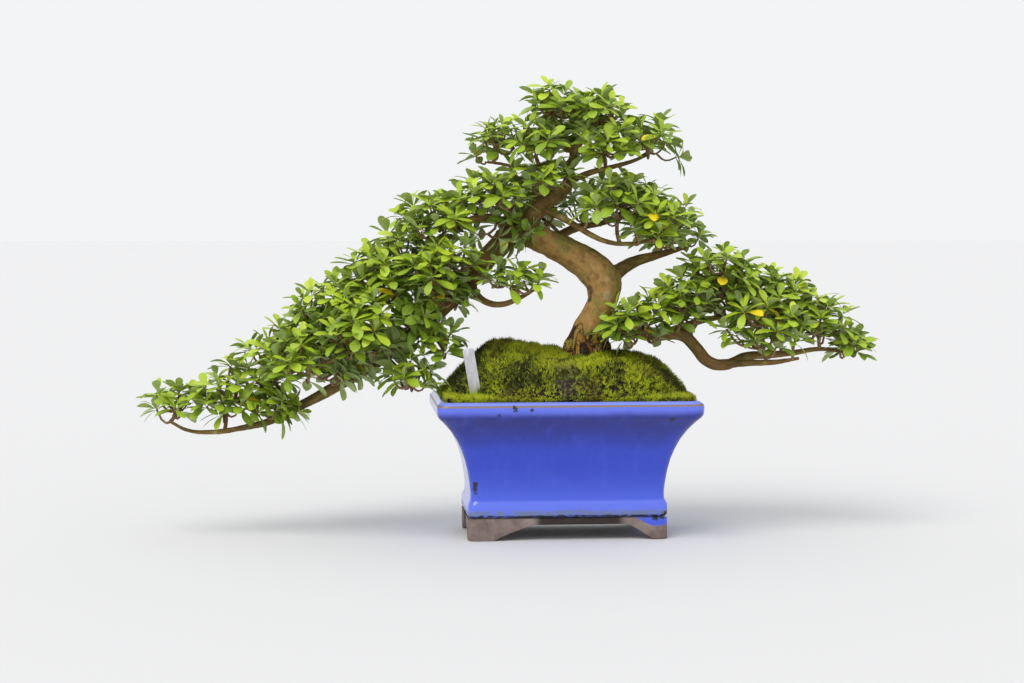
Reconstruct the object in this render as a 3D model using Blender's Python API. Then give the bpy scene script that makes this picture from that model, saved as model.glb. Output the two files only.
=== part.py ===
"""Satsuki azalea bonsai in a glazed pot: pot, drain screens, soil, moss, tree, leafy sprays and plant label.

Metres, +Z up. The pot's front faces -Y. The tree is laid out round the middle of the pot's base, and
settle_origin() then moves everything so that the origin is under the middle of the whole bonsai.
"""

import math
import random

import bmesh
import bpy
from mathutils import Matrix, Vector
from mathutils.bvhtree import BVHTree

GAP = 0.00035  # air left between pieces that touch
FLAT_ANGLE = math.radians(0.3)
TOUCHING = 0.000005

# Pot. Each row is height and half width of the ring there; the half depth is DEPTH_LESS smaller.
DEPTH_LESS = 0.0455
RIM_TOP = 0.1380
POT_OUTSIDE = [
    (0.0150, 0.0950),
    (0.0222, 0.0960),
    (0.0227, 0.0974),
    (0.0248, 0.0990),
    (0.0340, 0.0990),
    (0.0375, 0.0975),
    (0.0400, 0.0962),
    (0.0480, 0.0961),
    (0.0560, 0.0970),
    (0.0680, 0.0990),
    (0.0790, 0.1016),
    (0.0900, 0.1056),
    (0.1000, 0.1103),
    (0.1090, 0.1162),
    (0.1160, 0.1220),
    (0.1200, 0.1256),
    (0.1215, 0.1282),
    (0.1250, 0.1300),
    (0.1325, 0.1302),
    (0.1355, 0.1286),
    (RIM_TOP, 0.1252),
    (0.1374, 0.1212),
]
POT_INSIDE = [
    (0.1330, 0.1194),
    (0.1220, 0.1158),
    (0.1090, 0.1060),
    (0.0900, 0.0955),
    (0.0700, 0.0900),
    (0.0500, 0.0875),
    (0.0320, 0.0860),
    (0.0270, 0.0820),
]
CORNER_RIM = 0.0105
CORNER_BASE = 0.0075
CORNER_SEGMENTS = 3
FLOOR_TOP = POT_INSIDE[-1][0]

# Feet: corner brackets. The curve runs from the foot's end up to the pot: distance from the corner, height.
FOOT_HALF = 0.0988
FOOT_THICK = 0.012
FOOT_CURVE = [(0.0265, 0.0), (0.0340, 0.0045), (0.0500, 0.0105), (0.0620, 0.0165), (0.0690, 0.0190)]
FOOT_SIDE_SHARE = 0.60  # the side leg's length over the front leg's
FOOT_RIGHT_SHARE = 0.62  # the right feet are narrower
FOOT_TOP = 0.0215

DRAIN_X = 0.046
DRAIN_RADIUS = 0.010
SCREEN_SIDE = 0.032
SCREEN_THICK = 0.0012
SCREEN_BAR = 0.0020
SCREEN_BARS = 4

# Mound of moss over the soil.
MOUND_AX = 0.1212
MOUND_AY = MOUND_AX - DEPTH_LESS
MOUND_EDGE = 0.1330
MOUND_STEP = 0.0085
MOUND_RISE = 0.0390
MOUND_POWER = 4.2
MOUND_LUMPS = [  # x, y, height, spread
    (-0.066, 0.004, 0.0140, 0.020),
    (-0.022, 0.010, 0.0060, 0.018),
    (0.060, -0.012, 0.0030, 0.022),
    (0.100, 0.006, 0.0040, 0.018),
    (-0.012, -0.040, -0.0050, 0.022),
    (0.026, 0.000, -0.0030, 0.030),
]
MOSS_THICK = 0.009
TOP_INSET = 0.0010  # from the pot's inner rim to the moss's top edge
UNDER_INSET = 0.0032
SOIL_INSET = 0.0012
MOUND_SIDES = 30
MOUND_RINGS = 7
HOLE_STEPS = (0.1550, 0.1405, 0.1250, 0.1081)

LABEL = {"width": 0.0110, "length": 0.0783, "thick": 0.0013, "point": 0.014}
LABEL_FOOT = (-0.0861, -0.0590, 0.1120)
LABEL_LEAN_LEFT = math.radians(9.7)
LABEL_LEAN_FRONT = math.radians(1)

# Wood: centre line and radius of each limb, from its root in the parent to its tip, before TREE_PLACE.
TREE_PLACE = (0.0070, 0.0, -0.0095)
TRUNK_ROOT_X = 0.018 + TREE_PLACE[0]
ROOT_POINTS = 5  # the first points of the trunk, up to above the moss
FLUTES = 5
FLUTE_DEPTH = 0.11
FLUTE_TOP = 0.230
FLUTE_FADE = 0.04
LIMBS = {
    "trunk": {
        "sides": 12,
        "path": [
            (0.018, 0.000, 0.118, 0.0120),
            (0.018, 0.000, 0.150, 0.0195),
            (0.018, 0.000, 0.176, 0.0250),
            (0.018, 0.000, 0.192, 0.0238),
            (0.019, -0.002, 0.206, 0.0198),
            (0.023, -0.004, 0.221, 0.0165),
            (0.029, -0.005, 0.235, 0.0148),
            (0.033, -0.004, 0.248, 0.0160),
            (0.033, -0.002, 0.262, 0.0182),
            (0.023, 0.001, 0.275, 0.0176),
            (0.007, 0.004, 0.286, 0.0160),
            (-0.009, 0.006, 0.295, 0.0146),
            (-0.026, 0.006, 0.303, 0.0134),
            (-0.043, 0.004, 0.309, 0.0128),
            (-0.059, 0.000, 0.308, 0.0120),
            (-0.075, -0.003, 0.294, 0.0108),
            (-0.096, -0.004, 0.270, 0.0098),
            (-0.121, -0.001, 0.243, 0.0088),
            (-0.147, 0.005, 0.218, 0.0078),
            (-0.177, 0.010, 0.194, 0.0070),
            (-0.208, 0.010, 0.172, 0.0063),
            (-0.239, 0.004, 0.155, 0.0057),
            (-0.268, -0.003, 0.140, 0.0048),
            (-0.296, -0.007, 0.126, 0.0039),
            (-0.328, -0.006, 0.118, 0.0031),
            (-0.359, -0.002, 0.114, 0.0026),
            (-0.381, 0.002, 0.116, 0.0022),
            (-0.397, 0.004, 0.124, 0.0019),
        ],
    },
    "leader": {
        "sides": 8,
        "path": [
            (-0.044, 0.004, 0.309, 0.0105),
            (-0.037, 0.005, 0.328, 0.0098),
            (-0.024, 0.006, 0.341, 0.0084),
            (-0.009, 0.004, 0.351, 0.0070),
            (-0.001, 0.001, 0.363, 0.0060),
            (-0.001, -0.001, 0.376, 0.0050),
            (0.003, -0.001, 0.388, 0.0040),
            (-0.006, 0.001, 0.404, 0.0032),
            (-0.013, 0.004, 0.420, 0.0026),
            (-0.017, 0.002, 0.434, 0.0019),
        ],
    },
    "crown_left": {
        "sides": 6,
        "path": [
            (-0.001, 0.000, 0.378, 0.0031),
            (-0.016, -0.006, 0.381, 0.0029),
            (-0.032, -0.010, 0.377, 0.0028),
            (-0.050, -0.009, 0.375, 0.0024),
            (-0.069, -0.004, 0.379, 0.0019),
            (-0.084, 0.000, 0.381, 0.0017),
        ],
    },
    "crown_right": {
        "sides": 6,
        "path": [
            (-0.002, 0.002, 0.361, 0.0036),
            (0.018, -0.003, 0.370, 0.0033),
            (0.041, -0.006, 0.376, 0.0028),
            (0.062, -0.004, 0.382, 0.0023),
            (0.079, 0.002, 0.389, 0.0017),
        ],
    },
    "crown_back": {
        "sides": 6,
        "path": [
            (-0.001, 0.000, 0.370, 0.0038),
            (0.004, 0.020, 0.377, 0.0033),
            (0.012, 0.040, 0.384, 0.0024),
            (0.010, 0.056, 0.392, 0.0018),
        ],
    },
    "crown_fork": {
        "sides": 6,
        "path": [
            (0.002, -0.001, 0.386, 0.0030),
            (0.011, -0.010, 0.402, 0.0026),
            (0.020, -0.014, 0.419, 0.0020),
        ],
    },
    "middle_front": {
        "sides": 6,
        "path": [
            (-0.030, 0.003, 0.334, 0.0038),
            (-0.015, -0.014, 0.328, 0.0036),
            (0.001, -0.024, 0.319, 0.0033),
            (0.017, -0.030, 0.309, 0.0030),
            (0.033, -0.034, 0.302, 0.0027),
            (0.057, -0.036, 0.300, 0.0023),
            (0.078, -0.036, 0.304, 0.0017),
        ],
    },
    "middle_right": {
        "sides": 8,
        "path": [
            (0.036, 0.000, 0.262, 0.0090),
            (0.052, 0.005, 0.274, 0.0072),
            (0.068, 0.010, 0.282, 0.0058),
            (0.086, 0.012, 0.287, 0.0046),
            (0.104, 0.010, 0.292, 0.0034),
            (0.122, 0.006, 0.298, 0.0022),
        ],
    },
    "middle_back": {
        "sides": 6,
        "path": [
            (-0.018, 0.006, 0.298, 0.0062),
            (-0.006, 0.028, 0.308, 0.0052),
            (0.014, 0.046, 0.316, 0.0042),
            (0.038, 0.056, 0.320, 0.0032),
            (0.062, 0.058, 0.326, 0.0022),
        ],
    },
    "middle_left": {
        "sides": 6,
        "path": [
            (-0.058, 0.001, 0.309, 0.0070),
            (-0.070, -0.008, 0.322, 0.0052),
            (-0.088, -0.016, 0.326, 0.0040),
            (-0.108, -0.020, 0.322, 0.0030),
            (-0.128, -0.018, 0.318, 0.0020),
        ],
    },
    "under_left": {
        "sides": 6,
        "path": [
            (-0.100, -0.004, 0.268, 0.0049),
            (-0.096, -0.018, 0.252, 0.0039),
            (-0.084, -0.030, 0.242, 0.0036),
            (-0.070, -0.036, 0.241, 0.0031),
            (-0.054, -0.036, 0.247, 0.0026),
            (-0.040, -0.032, 0.254, 0.0019),
        ],
    },
    "tail_back_high": {
        "sides": 6,
        "path": [
            (-0.104, -0.002, 0.261, 0.0056),
            (-0.126, 0.020, 0.262, 0.0046),
            (-0.152, 0.038, 0.258, 0.0036),
            (-0.180, 0.046, 0.250, 0.0026),
        ],
    },
    "tail_front": {
        "sides": 6,
        "path": [
            (-0.158, 0.006, 0.209, 0.0050),
            (-0.180, -0.016, 0.208, 0.0042),
            (-0.206, -0.030, 0.202, 0.0034),
            (-0.232, -0.036, 0.190, 0.0026),
            (-0.254, -0.034, 0.178, 0.0020),
        ],
    },
    "tail_back_low": {
        "sides": 6,
        "path": [
            (-0.200, 0.010, 0.178, 0.0044),
            (-0.222, 0.028, 0.180, 0.0036),
            (-0.248, 0.040, 0.174, 0.0028),
            (-0.272, 0.042, 0.164, 0.0020),
        ],
    },
    "right": {
        "sides": 8,
        "path": [
            (0.024, -0.002, 0.226, 0.0095),
            (0.042, -0.004, 0.219, 0.0082),
            (0.062, -0.006, 0.213, 0.0074),
            (0.088, -0.006, 0.209, 0.0068),
            (0.113, -0.004, 0.208, 0.0064),
            (0.127, -0.004, 0.195, 0.0062),
            (0.140, -0.006, 0.181, 0.0062),
            (0.157, -0.006, 0.178, 0.0056),
            (0.178, -0.002, 0.186, 0.0047),
            (0.203, 0.004, 0.187, 0.0039),
            (0.229, 0.006, 0.189, 0.0032),
            (0.255, 0.002, 0.193, 0.0026),
            (0.275, -0.002, 0.191, 0.0020),
        ],
    },
    "right_front": {
        "sides": 6,
        "path": [
            (0.158, -0.008, 0.178, 0.0040),
            (0.176, -0.024, 0.181, 0.0036),
            (0.200, -0.032, 0.182, 0.0030),
            (0.226, -0.034, 0.186, 0.0020),
        ],
    },
    "right_back": {
        "sides": 6,
        "path": [
            (0.100, -0.004, 0.209, 0.0048),
            (0.120, 0.018, 0.216, 0.0042),
            (0.146, 0.036, 0.222, 0.0034),
            (0.174, 0.046, 0.224, 0.0024),
        ],
    },
    "right_upper": {
        "sides": 6,
        "path": [
            (0.116, -0.004, 0.206, 0.0044),
            (0.130, -0.006, 0.226, 0.0038),
            (0.146, -0.004, 0.242, 0.0030),
            (0.164, 0.000, 0.252, 0.0022),
        ],
    },
}

# Sprays: limb that carries it, middle and radii of its cloud of shoots, shoots scattered there, named shoots.
SPRAYS = {
    "spray_crown_top": (
        "leader",
        (-0.010, 0.004, 0.438),
        (0.026, 0.026, 0.016),
        2,
        [(-0.021, -0.002, 0.452)],
    ),
    "spray_crown_fork": (
        "crown_fork",
        (0.030, -0.012, 0.430),
        (0.024, 0.024, 0.016),
        2,
        [(0.029, -0.012, 0.443)],
    ),
    "spray_crown_left": (
        "crown_left",
        (-0.074, 0.000, 0.400),
        (0.022, 0.030, 0.014),
        2,
        [(-0.094, -0.002, 0.386), (-0.064, -0.002, 0.413)],
    ),
    "spray_crown_near_left": ("crown_left", (-0.034, -0.018, 0.402), (0.026, 0.024, 0.014), 3, []),
    "spray_crown_front": ("crown_right", (0.030, -0.026, 0.398), (0.026, 0.020, 0.016), 3, []),
    "spray_crown_right": (
        "crown_right",
        (0.074, 0.000, 0.406),
        (0.026, 0.030, 0.016),
        2,
        [(0.106, -0.002, 0.386), (0.096, 0.004, 0.400)],
    ),
    "spray_crown_back": ("crown_back", (0.010, 0.048, 0.408), (0.044, 0.026, 0.018), 3, []),
    "spray_middle_left": ("middle_left", (-0.084, -0.016, 0.346), (0.034, 0.030, 0.016), 3, []),
    "spray_middle_far_left": ("middle_left", (-0.134, -0.014, 0.324), (0.034, 0.034, 0.018), 3, []),
    "spray_middle_centre": ("leader", (-0.030, -0.022, 0.364), (0.034, 0.020, 0.014), 3, []),
    "spray_middle_high": ("middle_front", (0.045, -0.034, 0.342), (0.036, 0.024, 0.020), 4, []),
    "spray_middle_front": ("middle_front", (0.084, -0.034, 0.318), (0.030, 0.024, 0.020), 3, []),
    "spray_middle_right": (
        "middle_right",
        (0.098, 0.010, 0.318),
        (0.030, 0.030, 0.020),
        3,
        [(0.130, 0.004, 0.304), (0.086, 0.002, 0.344)],
    ),
    "spray_middle_back": ("middle_back", (0.044, 0.054, 0.346), (0.046, 0.026, 0.020), 3, []),
    "spray_middle_back_left": ("middle_back", (-0.030, 0.048, 0.340), (0.036, 0.026, 0.018), 3, []),
    "spray_under_left": ("under_left", (-0.060, -0.038, 0.264), (0.034, 0.020, 0.012), 3, []),
    "spray_tail_high": ("tail_back_high", (-0.164, 0.034, 0.290), (0.040, 0.034, 0.020), 3, []),
    "spray_tail_shoulder": ("trunk", (-0.130, -0.034, 0.280), (0.036, 0.026, 0.020), 3, []),
    "spray_tail_upper": ("trunk", (-0.186, -0.004, 0.268), (0.036, 0.032, 0.024), 4, []),
    "spray_tail_hanging": ("trunk", (-0.128, -0.022, 0.206), (0.014, 0.012, 0.012), 2, []),
    "spray_tail_under": ("trunk", (-0.160, -0.020, 0.172), (0.022, 0.022, 0.012), 2, []),
    "spray_tail_front": ("tail_front", (-0.212, -0.040, 0.224), (0.040, 0.024, 0.022), 3, []),
    "spray_tail_crest": ("trunk", (-0.240, 0.010, 0.236), (0.034, 0.032, 0.022), 3, []),
    "spray_tail_back": ("tail_back_low", (-0.252, 0.044, 0.204), (0.038, 0.026, 0.022), 3, []),
    "spray_tail_low": ("tail_front", (-0.270, -0.036, 0.190), (0.030, 0.022, 0.018), 3, []),
    "spray_tail_middle": (
        "trunk",
        (-0.296, 0.008, 0.184),
        (0.030, 0.028, 0.022),
        3,
        [(-0.290, 0.004, 0.214)],
    ),
    "spray_tail_outer": ("trunk", (-0.342, 0.000, 0.152), (0.030, 0.026, 0.016), 3, [(-0.338, 0.006, 0.178)]),
    "spray_tail_tip": ("trunk", (-0.392, 0.000, 0.144), (0.022, 0.020, 0.010), 2, [(-0.410, 0.002, 0.136)]),
    "spray_right_near": ("right", (0.068, -0.034, 0.228), (0.034, 0.020, 0.018), 3, []),
    "spray_right_inner": ("right", (0.108, -0.030, 0.246), (0.034, 0.024, 0.020), 3, []),
    "spray_right_upper": ("right_upper", (0.152, -0.010, 0.272), (0.036, 0.030, 0.018), 3, []),
    "spray_right_back": ("right_back", (0.166, 0.044, 0.252), (0.044, 0.026, 0.020), 3, []),
    "spray_right_front": ("right_front", (0.190, -0.034, 0.218), (0.040, 0.022, 0.020), 3, []),
    "spray_right_middle": ("right", (0.212, 0.010, 0.242), (0.036, 0.032, 0.024), 4, []),
    "spray_right_outer": ("right", (0.252, -0.004, 0.226), (0.028, 0.026, 0.018), 3, []),
    "spray_right_tip": ("right", (0.286, 0.000, 0.202), (0.022, 0.020, 0.012), 2, [(0.298, 0.000, 0.198)]),
}
SEED = 7
SPRAY_DRAWS = 6

# Leaves and twigs.
LEAF_LENGTH = (0.0215, 0.0285)
LEAF_WIDE = 0.42  # width over length
LEAF_KEEL = 0.0012
LEAF_DROOP = 0.15
LEAF_STATIONS = [(0.64, 1.0)]  # share of the length, share of the width
LEAF_CLEAR = 0.0006
LEAF_ROOT_SHARE = 0.25  # the root is too near its neighbours' roots to be tested
TWIG_RADIUS = 0.0011
TWIG_SIDES = 3
TWIG_BEND = 0.0045  # a twig's last stretch, in line with its shoot
HUB_RADIUS = 0.0016
HUB_STEP = 0.0026
BUD_STEPS = 3
TIERS = [math.radians(72), math.radians(50)]  # lean of each tier's leaves away from the shoot
LEAF_TRIES = 9  # each try is a little shorter, and free to turn a little further
LEAF_SHRINK = 0.03
LEAF_SWING = 0.25
LEAF_TILT = 0.20
STEM_RADIUS = 0.0016
STEM_SIDES = 3
STEM_START = 0.004  # a stem's first stretch, in line with the limb's end
STEM_TRIES = 24
STEM_LIFTS = (0.0, 0.5, 1.0)
TIP_REACH = 0.075  # a spray this near a limb's end grows on from that end
KNOT_DROP = 0.8  # a stem ends this share of the cloud's height under its middle
SHOOT_SPREAD = 0.55  # lean of a shoot away from its cloud's middle
SHOOT_FOLLOW = 0.25  # lean of a shoot away from its spray's root
FORK_HOME = 0.25  # a fork near the root is liked this much more
FORK_SHARE = (0.50, 0.70)  # where on a twig the next one may fork
TWIG_SUNK = (0.3, 0.6)  # a twig starts this share of its radius inside its parent
SITE_DRAWS = 40
SITE_REACH = (0.55, 1.0)  # shoots stand in this outer share of a cloud
SITE_STRETCH, SITE_SINK = 1.15, 0.30  # they keep to the cloud's top and sides
LABEL_CLIP = 0.0012


def clear_scene():
    for obj in list(bpy.data.objects):
        bpy.data.objects.remove(obj, do_unlink=True)


def material(name, colour, roughness, metallic=0.0):
    made = bpy.data.materials.new(name)
    made.use_nodes = True
    shader = made.node_tree.nodes["Principled BSDF"]
    shader.inputs["Base Color"].default_value = (*colour, 1.0)
    shader.inputs["Roughness"].default_value = roughness
    shader.inputs["Metallic"].default_value = metallic
    made.diffuse_color = (*colour, 1.0)
    return made


def object_from(bm, name, look):
    """An object of this bmesh, whose faces are made to point out."""
    bmesh.ops.recalc_face_normals(bm, faces=bm.faces)
    mesh = bpy.data.meshes.new(name)
    bm.to_mesh(mesh)
    bm.free()
    mesh.materials.append(look)
    obj = bpy.data.objects.new(name, mesh)
    bpy.context.scene.collection.objects.link(obj)
    return obj


def smooth(obj, angle=40):
    obj.data.shade_smooth()
    obj.data.set_sharp_from_angle(angle=math.radians(angle))


def skin(rings, ring_closed=False):
    """A bmesh skinned through rings of equal count. It has end caps, or joins its last ring to its first."""
    bm = bmesh.new()
    loops = [[bm.verts.new(point) for point in ring] for ring in rings]
    pairs = list(zip(loops, loops[1:]))
    if ring_closed:
        pairs.append((loops[-1], loops[0]))
    for low, high in pairs:
        for i, corner in enumerate(low):
            j = (i + 1) % len(low)
            bm.faces.new((corner, low[j], high[j], high[i]))
    if not ring_closed:
        bm.faces.new(loops[0])
        bm.faces.new(loops[-1])
    return bm


def split_alike(bm):
    """Splits quads along their shorter diagonals, so that moss and soil have the same facets."""
    quads = [face for face in bm.faces if len(face.verts) == 4]
    bmesh.ops.triangulate(bm, faces=quads, quad_method="SHORT_EDGE")


def apply_modifiers(obj):
    bpy.context.view_layer.update()
    graph = bpy.context.evaluated_depsgraph_get()
    mesh = bpy.data.meshes.new_from_object(obj.evaluated_get(graph))
    obj.modifiers.clear()
    obj.data = mesh


def is_one_closed_body(mesh):
    bm = bmesh.new()
    bm.from_mesh(mesh)
    bmesh.ops.triangulate(bm, faces=bm.faces)
    bmesh.ops.remove_doubles(bm, verts=bm.verts, dist=TOUCHING)
    closed = all(len(edge.link_faces) == 2 for edge in bm.edges)
    start = next(iter(bm.verts))
    reached, waiting = {start}, [start]
    while waiting:
        for edge in waiting.pop().link_edges:
            for vert in edge.verts:
                if vert not in reached:
                    reached.add(vert)
                    waiting.append(vert)
    whole = len(reached) == len(bm.verts)
    bm.free()
    return closed and whole


def unite(pieces):
    """Boolean union of the objects, kept in the first of them. MANIFOLD is for where EXACT leaves a gap."""
    body, others = pieces[0], pieces[1:]
    if not others:
        return body
    group = bpy.data.collections.new("joined")
    for other in others:
        group.objects.link(other)
    plain = body.data
    for solver in ("EXACT", "MANIFOLD"):
        body.data = plain
        union = body.modifiers.new("join", "BOOLEAN")
        union.operation = "UNION"
        union.operand_type = "COLLECTION"
        union.collection = group
        union.solver = solver
        apply_modifiers(body)
        if is_one_closed_body(body.data):
            break
    for other in others:
        bpy.data.objects.remove(other, do_unlink=True)
    bpy.data.collections.remove(group)
    return body


def dissolve_flat(obj):
    """Merges faces that lie in one plane, which a Boolean leaves split."""
    bm = bmesh.new()
    bm.from_mesh(obj.data)
    bmesh.ops.dissolve_limit(bm, angle_limit=FLAT_ANGLE, verts=bm.verts, edges=bm.edges)
    bm.to_mesh(obj.data)
    bm.free()


def cut(obj, cutter):
    """Takes the cutter out of obj, and removes the cutter."""
    carve = obj.modifiers.new("cut", "BOOLEAN")
    carve.operation = "DIFFERENCE"
    carve.object = cutter
    carve.solver = "EXACT"
    apply_modifiers(obj)
    bpy.data.objects.remove(cutter, do_unlink=True)


def rounded_ring(half_x, half_y, radius, z):
    """Points of a rectangle with round corners, anticlockwise from its +X side."""
    points = []
    for quarter, (sign_x, sign_y) in enumerate([(1, 1), (-1, 1), (-1, -1), (1, -1)]):
        centre_x = sign_x * (half_x - radius)
        centre_y = sign_y * (half_y - radius)
        for step in range(CORNER_SEGMENTS + 1):
            angle = math.pi / 2 * (quarter + step / CORNER_SEGMENTS)
            x = centre_x + radius * math.cos(angle)
            y = centre_y + radius * math.sin(angle)
            points.append((x, y, z))
    return points


def corner_radius(z):
    share = min(max(z / RIM_TOP, 0.0), 1.0)
    return CORNER_BASE + (CORNER_RIM - CORNER_BASE) * share


def foot_leg(sign_x, sign_y, along_x, look):
    """One leg of a corner bracket, along the front or the side."""
    share = FOOT_SIDE_SHARE
    if along_x:
        share = FOOT_RIGHT_SHARE if sign_x > 0 else 1.0
    outline = [(0.0, 0.0)] + [(along * share, height) for along, height in FOOT_CURVE]
    outline += [(FOOT_CURVE[-1][0] * share, FOOT_TOP), (0.0, FOOT_TOP)]
    corner_x = sign_x * FOOT_HALF
    corner_y = sign_y * (FOOT_HALF - DEPTH_LESS)
    bm = bmesh.new()
    verts = []
    for along, height in outline:
        if along_x:
            verts.append(bm.verts.new((corner_x - sign_x * along, corner_y, height)))
        else:
            verts.append(bm.verts.new((corner_x, corner_y - sign_y * along, height)))
    face = bm.faces.new(verts)
    shift = Vector((0, -sign_y * FOOT_THICK, 0)) if along_x else Vector((-sign_x * FOOT_THICK, 0, 0))
    extruded = bmesh.ops.extrude_face_region(bm, geom=[face])
    moved = [item for item in extruded["geom"] if isinstance(item, bmesh.types.BMVert)]
    bmesh.ops.translate(bm, verts=moved, vec=shift)
    return object_from(bm, "foot_leg", look)


def drain_cutter(x):
    bm = bmesh.new()
    bmesh.ops.create_cone(
        bm, cap_ends=True, segments=16, radius1=DRAIN_RADIUS, radius2=DRAIN_RADIUS, depth=2 * FLOOR_TOP
    )
    bmesh.ops.translate(bm, verts=bm.verts, vec=(x, 0, FLOOR_TOP))
    return object_from(bm, "drain_cutter", bpy.data.materials[0])


def make_pot(look):
    rings = []
    for z, half in POT_OUTSIDE + POT_INSIDE:
        rings.append(rounded_ring(half, half - DEPTH_LESS, corner_radius(z), z))
    pot = object_from(skin(rings), "pot", look)
    legs = []
    for sign_x in (-1, 1):
        for sign_y in (-1, 1):
            legs.append(foot_leg(sign_x, sign_y, True, look))
            legs.append(foot_leg(sign_x, sign_y, False, look))
    pot = unite([pot] + legs)
    for side in (-1, 1):
        cut(pot, drain_cutter(side * DRAIN_X))
    dissolve_flat(pot)
    smooth(pot, 30)
    return pot


def make_screen(name, x, look):
    """Plastic mesh over a drain hole: bars each way, joined in one plate."""
    low = FLOOR_TOP + GAP
    bars = []
    pitch = (SCREEN_SIDE - SCREEN_BAR) / (SCREEN_BARS - 1)
    for i in range(SCREEN_BARS):
        offset = -SCREEN_SIDE / 2 + SCREEN_BAR / 2 + i * pitch
        for size, place in (
            ((SCREEN_SIDE, SCREEN_BAR), (0.0, offset)),
            ((SCREEN_BAR, SCREEN_SIDE), (offset, 0.0)),
        ):
            bm = bmesh.new()
            bmesh.ops.create_cube(bm, size=1.0)
            bmesh.ops.scale(bm, verts=bm.verts, vec=(size[0], size[1], SCREEN_THICK))
            centre = (x + place[0], place[1], low + SCREEN_THICK / 2)
            bmesh.ops.translate(bm, verts=bm.verts, vec=centre)
            bars.append(object_from(bm, name, look))
    screen = unite(bars)
    dissolve_flat(screen)
    screen.name = name
    return screen


def mound_height(x, y):
    """Top of the moss over the pot."""
    reach = ((abs(x) / MOUND_AX) ** 3 + (abs(y) / MOUND_AY) ** 3) ** (1 / 3)
    height = MOUND_EDGE + MOUND_STEP + MOUND_RISE * max(0.0, 1 - reach**MOUND_POWER)
    inside = max(0.0, 1 - reach**6)
    for lump_x, lump_y, rise, spread in MOUND_LUMPS:
        away = ((x - lump_x) ** 2 + (y - lump_y) ** 2) / (2 * spread**2)
        height += rise * math.exp(-away) * inside
    ripple = math.sin(x / 0.0085 + 1.3) * math.cos(y / 0.0075 - 0.6)
    ripple += 0.6 * math.sin(x / 0.0043 - y / 0.0052)
    return height + 0.0011 * ripple * inside


def inner_edge(angle, inset):
    """The point of the pot's inner rim that lies at this angle from its middle."""
    half_x = MOUND_AX - inset
    half_y = MOUND_AY - inset
    radius = CORNER_RIM - inset
    direction = Vector((math.cos(angle), math.sin(angle)))
    low, high = 0.0, 0.3
    for _ in range(40):
        middle = (low + high) / 2
        x, y = abs(direction.x) * middle, abs(direction.y) * middle
        over_x = max(x - (half_x - radius), 0.0)
        over_y = max(y - (half_y - radius), 0.0)
        if x > half_x or y > half_y or math.hypot(over_x, over_y) > radius:
            high = middle
        else:
            low = middle
    return direction * low


def hole_radius(z):
    """Radius of the trunk's hole in moss and soil."""
    z -= TREE_PLACE[2]
    path = LIMBS["trunk"]["path"][:ROOT_POINTS]
    for (_, _, low, small), (_, _, high, large) in zip(path, path[1:]):
        if low <= z <= high:
            wide = small + (large - small) * (z - low) / (high - low)
            return wide * (1 + FLUTE_DEPTH) + 2 * GAP
    return path[0][3] * (1 + FLUTE_DEPTH) + 2 * GAP


def mound_rings(drop, inset):
    """Rings of the mound's surface, lowered by drop, from the pot's rim in to the trunk's hole."""
    hole = max(radius for _, _, _, radius in LIMBS["trunk"]["path"][:ROOT_POINTS])
    hole = hole * (1 + FLUTE_DEPTH) + 2 * GAP
    rings = []
    for k in range(MOUND_RINGS + 1):
        share = 0.012 if k == 0 else (k / MOUND_RINGS) ** 1.15
        ring = []
        for i in range(MOUND_SIDES):
            angle = 2 * math.pi * i / MOUND_SIDES
            edge = inner_edge(angle, inset)
            inner = Vector((TRUNK_ROOT_X + hole * math.cos(angle), hole * math.sin(angle)))
            place = edge.lerp(inner, share)
            ring.append((place.x, place.y, mound_height(place.x, place.y) - drop))
        rings.append(ring)
    return rings


def wall_ring(half, z, inset):
    """A ring of the soil against the pot's inner wall, with as many points as the mound's rings."""
    ring = []
    shrink = (half - inset) / MOUND_AX
    for i in range(MOUND_SIDES):
        edge = inner_edge(2 * math.pi * i / MOUND_SIDES, 0.0)
        scale_y = (half - DEPTH_LESS - inset) / MOUND_AY
        ring.append((edge.x * shrink, edge.y * scale_y, z))
    return ring


def hole_ring(z):
    radius = hole_radius(z)
    ring = []
    for i in range(MOUND_SIDES):
        angle = 2 * math.pi * i / MOUND_SIDES
        ring.append((TRUNK_ROOT_X + radius * math.cos(angle), radius * math.sin(angle), z))
    return ring


def make_soil(look):
    rings = [wall_ring(POT_INSIDE[-1][1], FLOOR_TOP + GAP, SOIL_INSET)]
    for z, half in reversed(POT_INSIDE[1:-1]):
        rings.append(wall_ring(half, z, SOIL_INSET))
    rings += mound_rings(MOSS_THICK + GAP, UNDER_INSET)
    for z in HOLE_STEPS:
        rings.append(hole_ring(z))
    bm = skin(rings)
    split_alike(bm)
    return object_from(bm, "soil", look)


def make_moss(look):
    top = mound_rings(0.0, TOP_INSET)
    under = mound_rings(MOSS_THICK, UNDER_INSET)
    top[0] = [(x, y, MOUND_EDGE + MOUND_STEP / 2) for x, y, _ in top[0]]
    bm = skin(top + under[::-1], ring_closed=True)
    split_alike(bm)
    moss = object_from(bm, "moss", look)
    smooth(moss, 60)
    return moss


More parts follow.
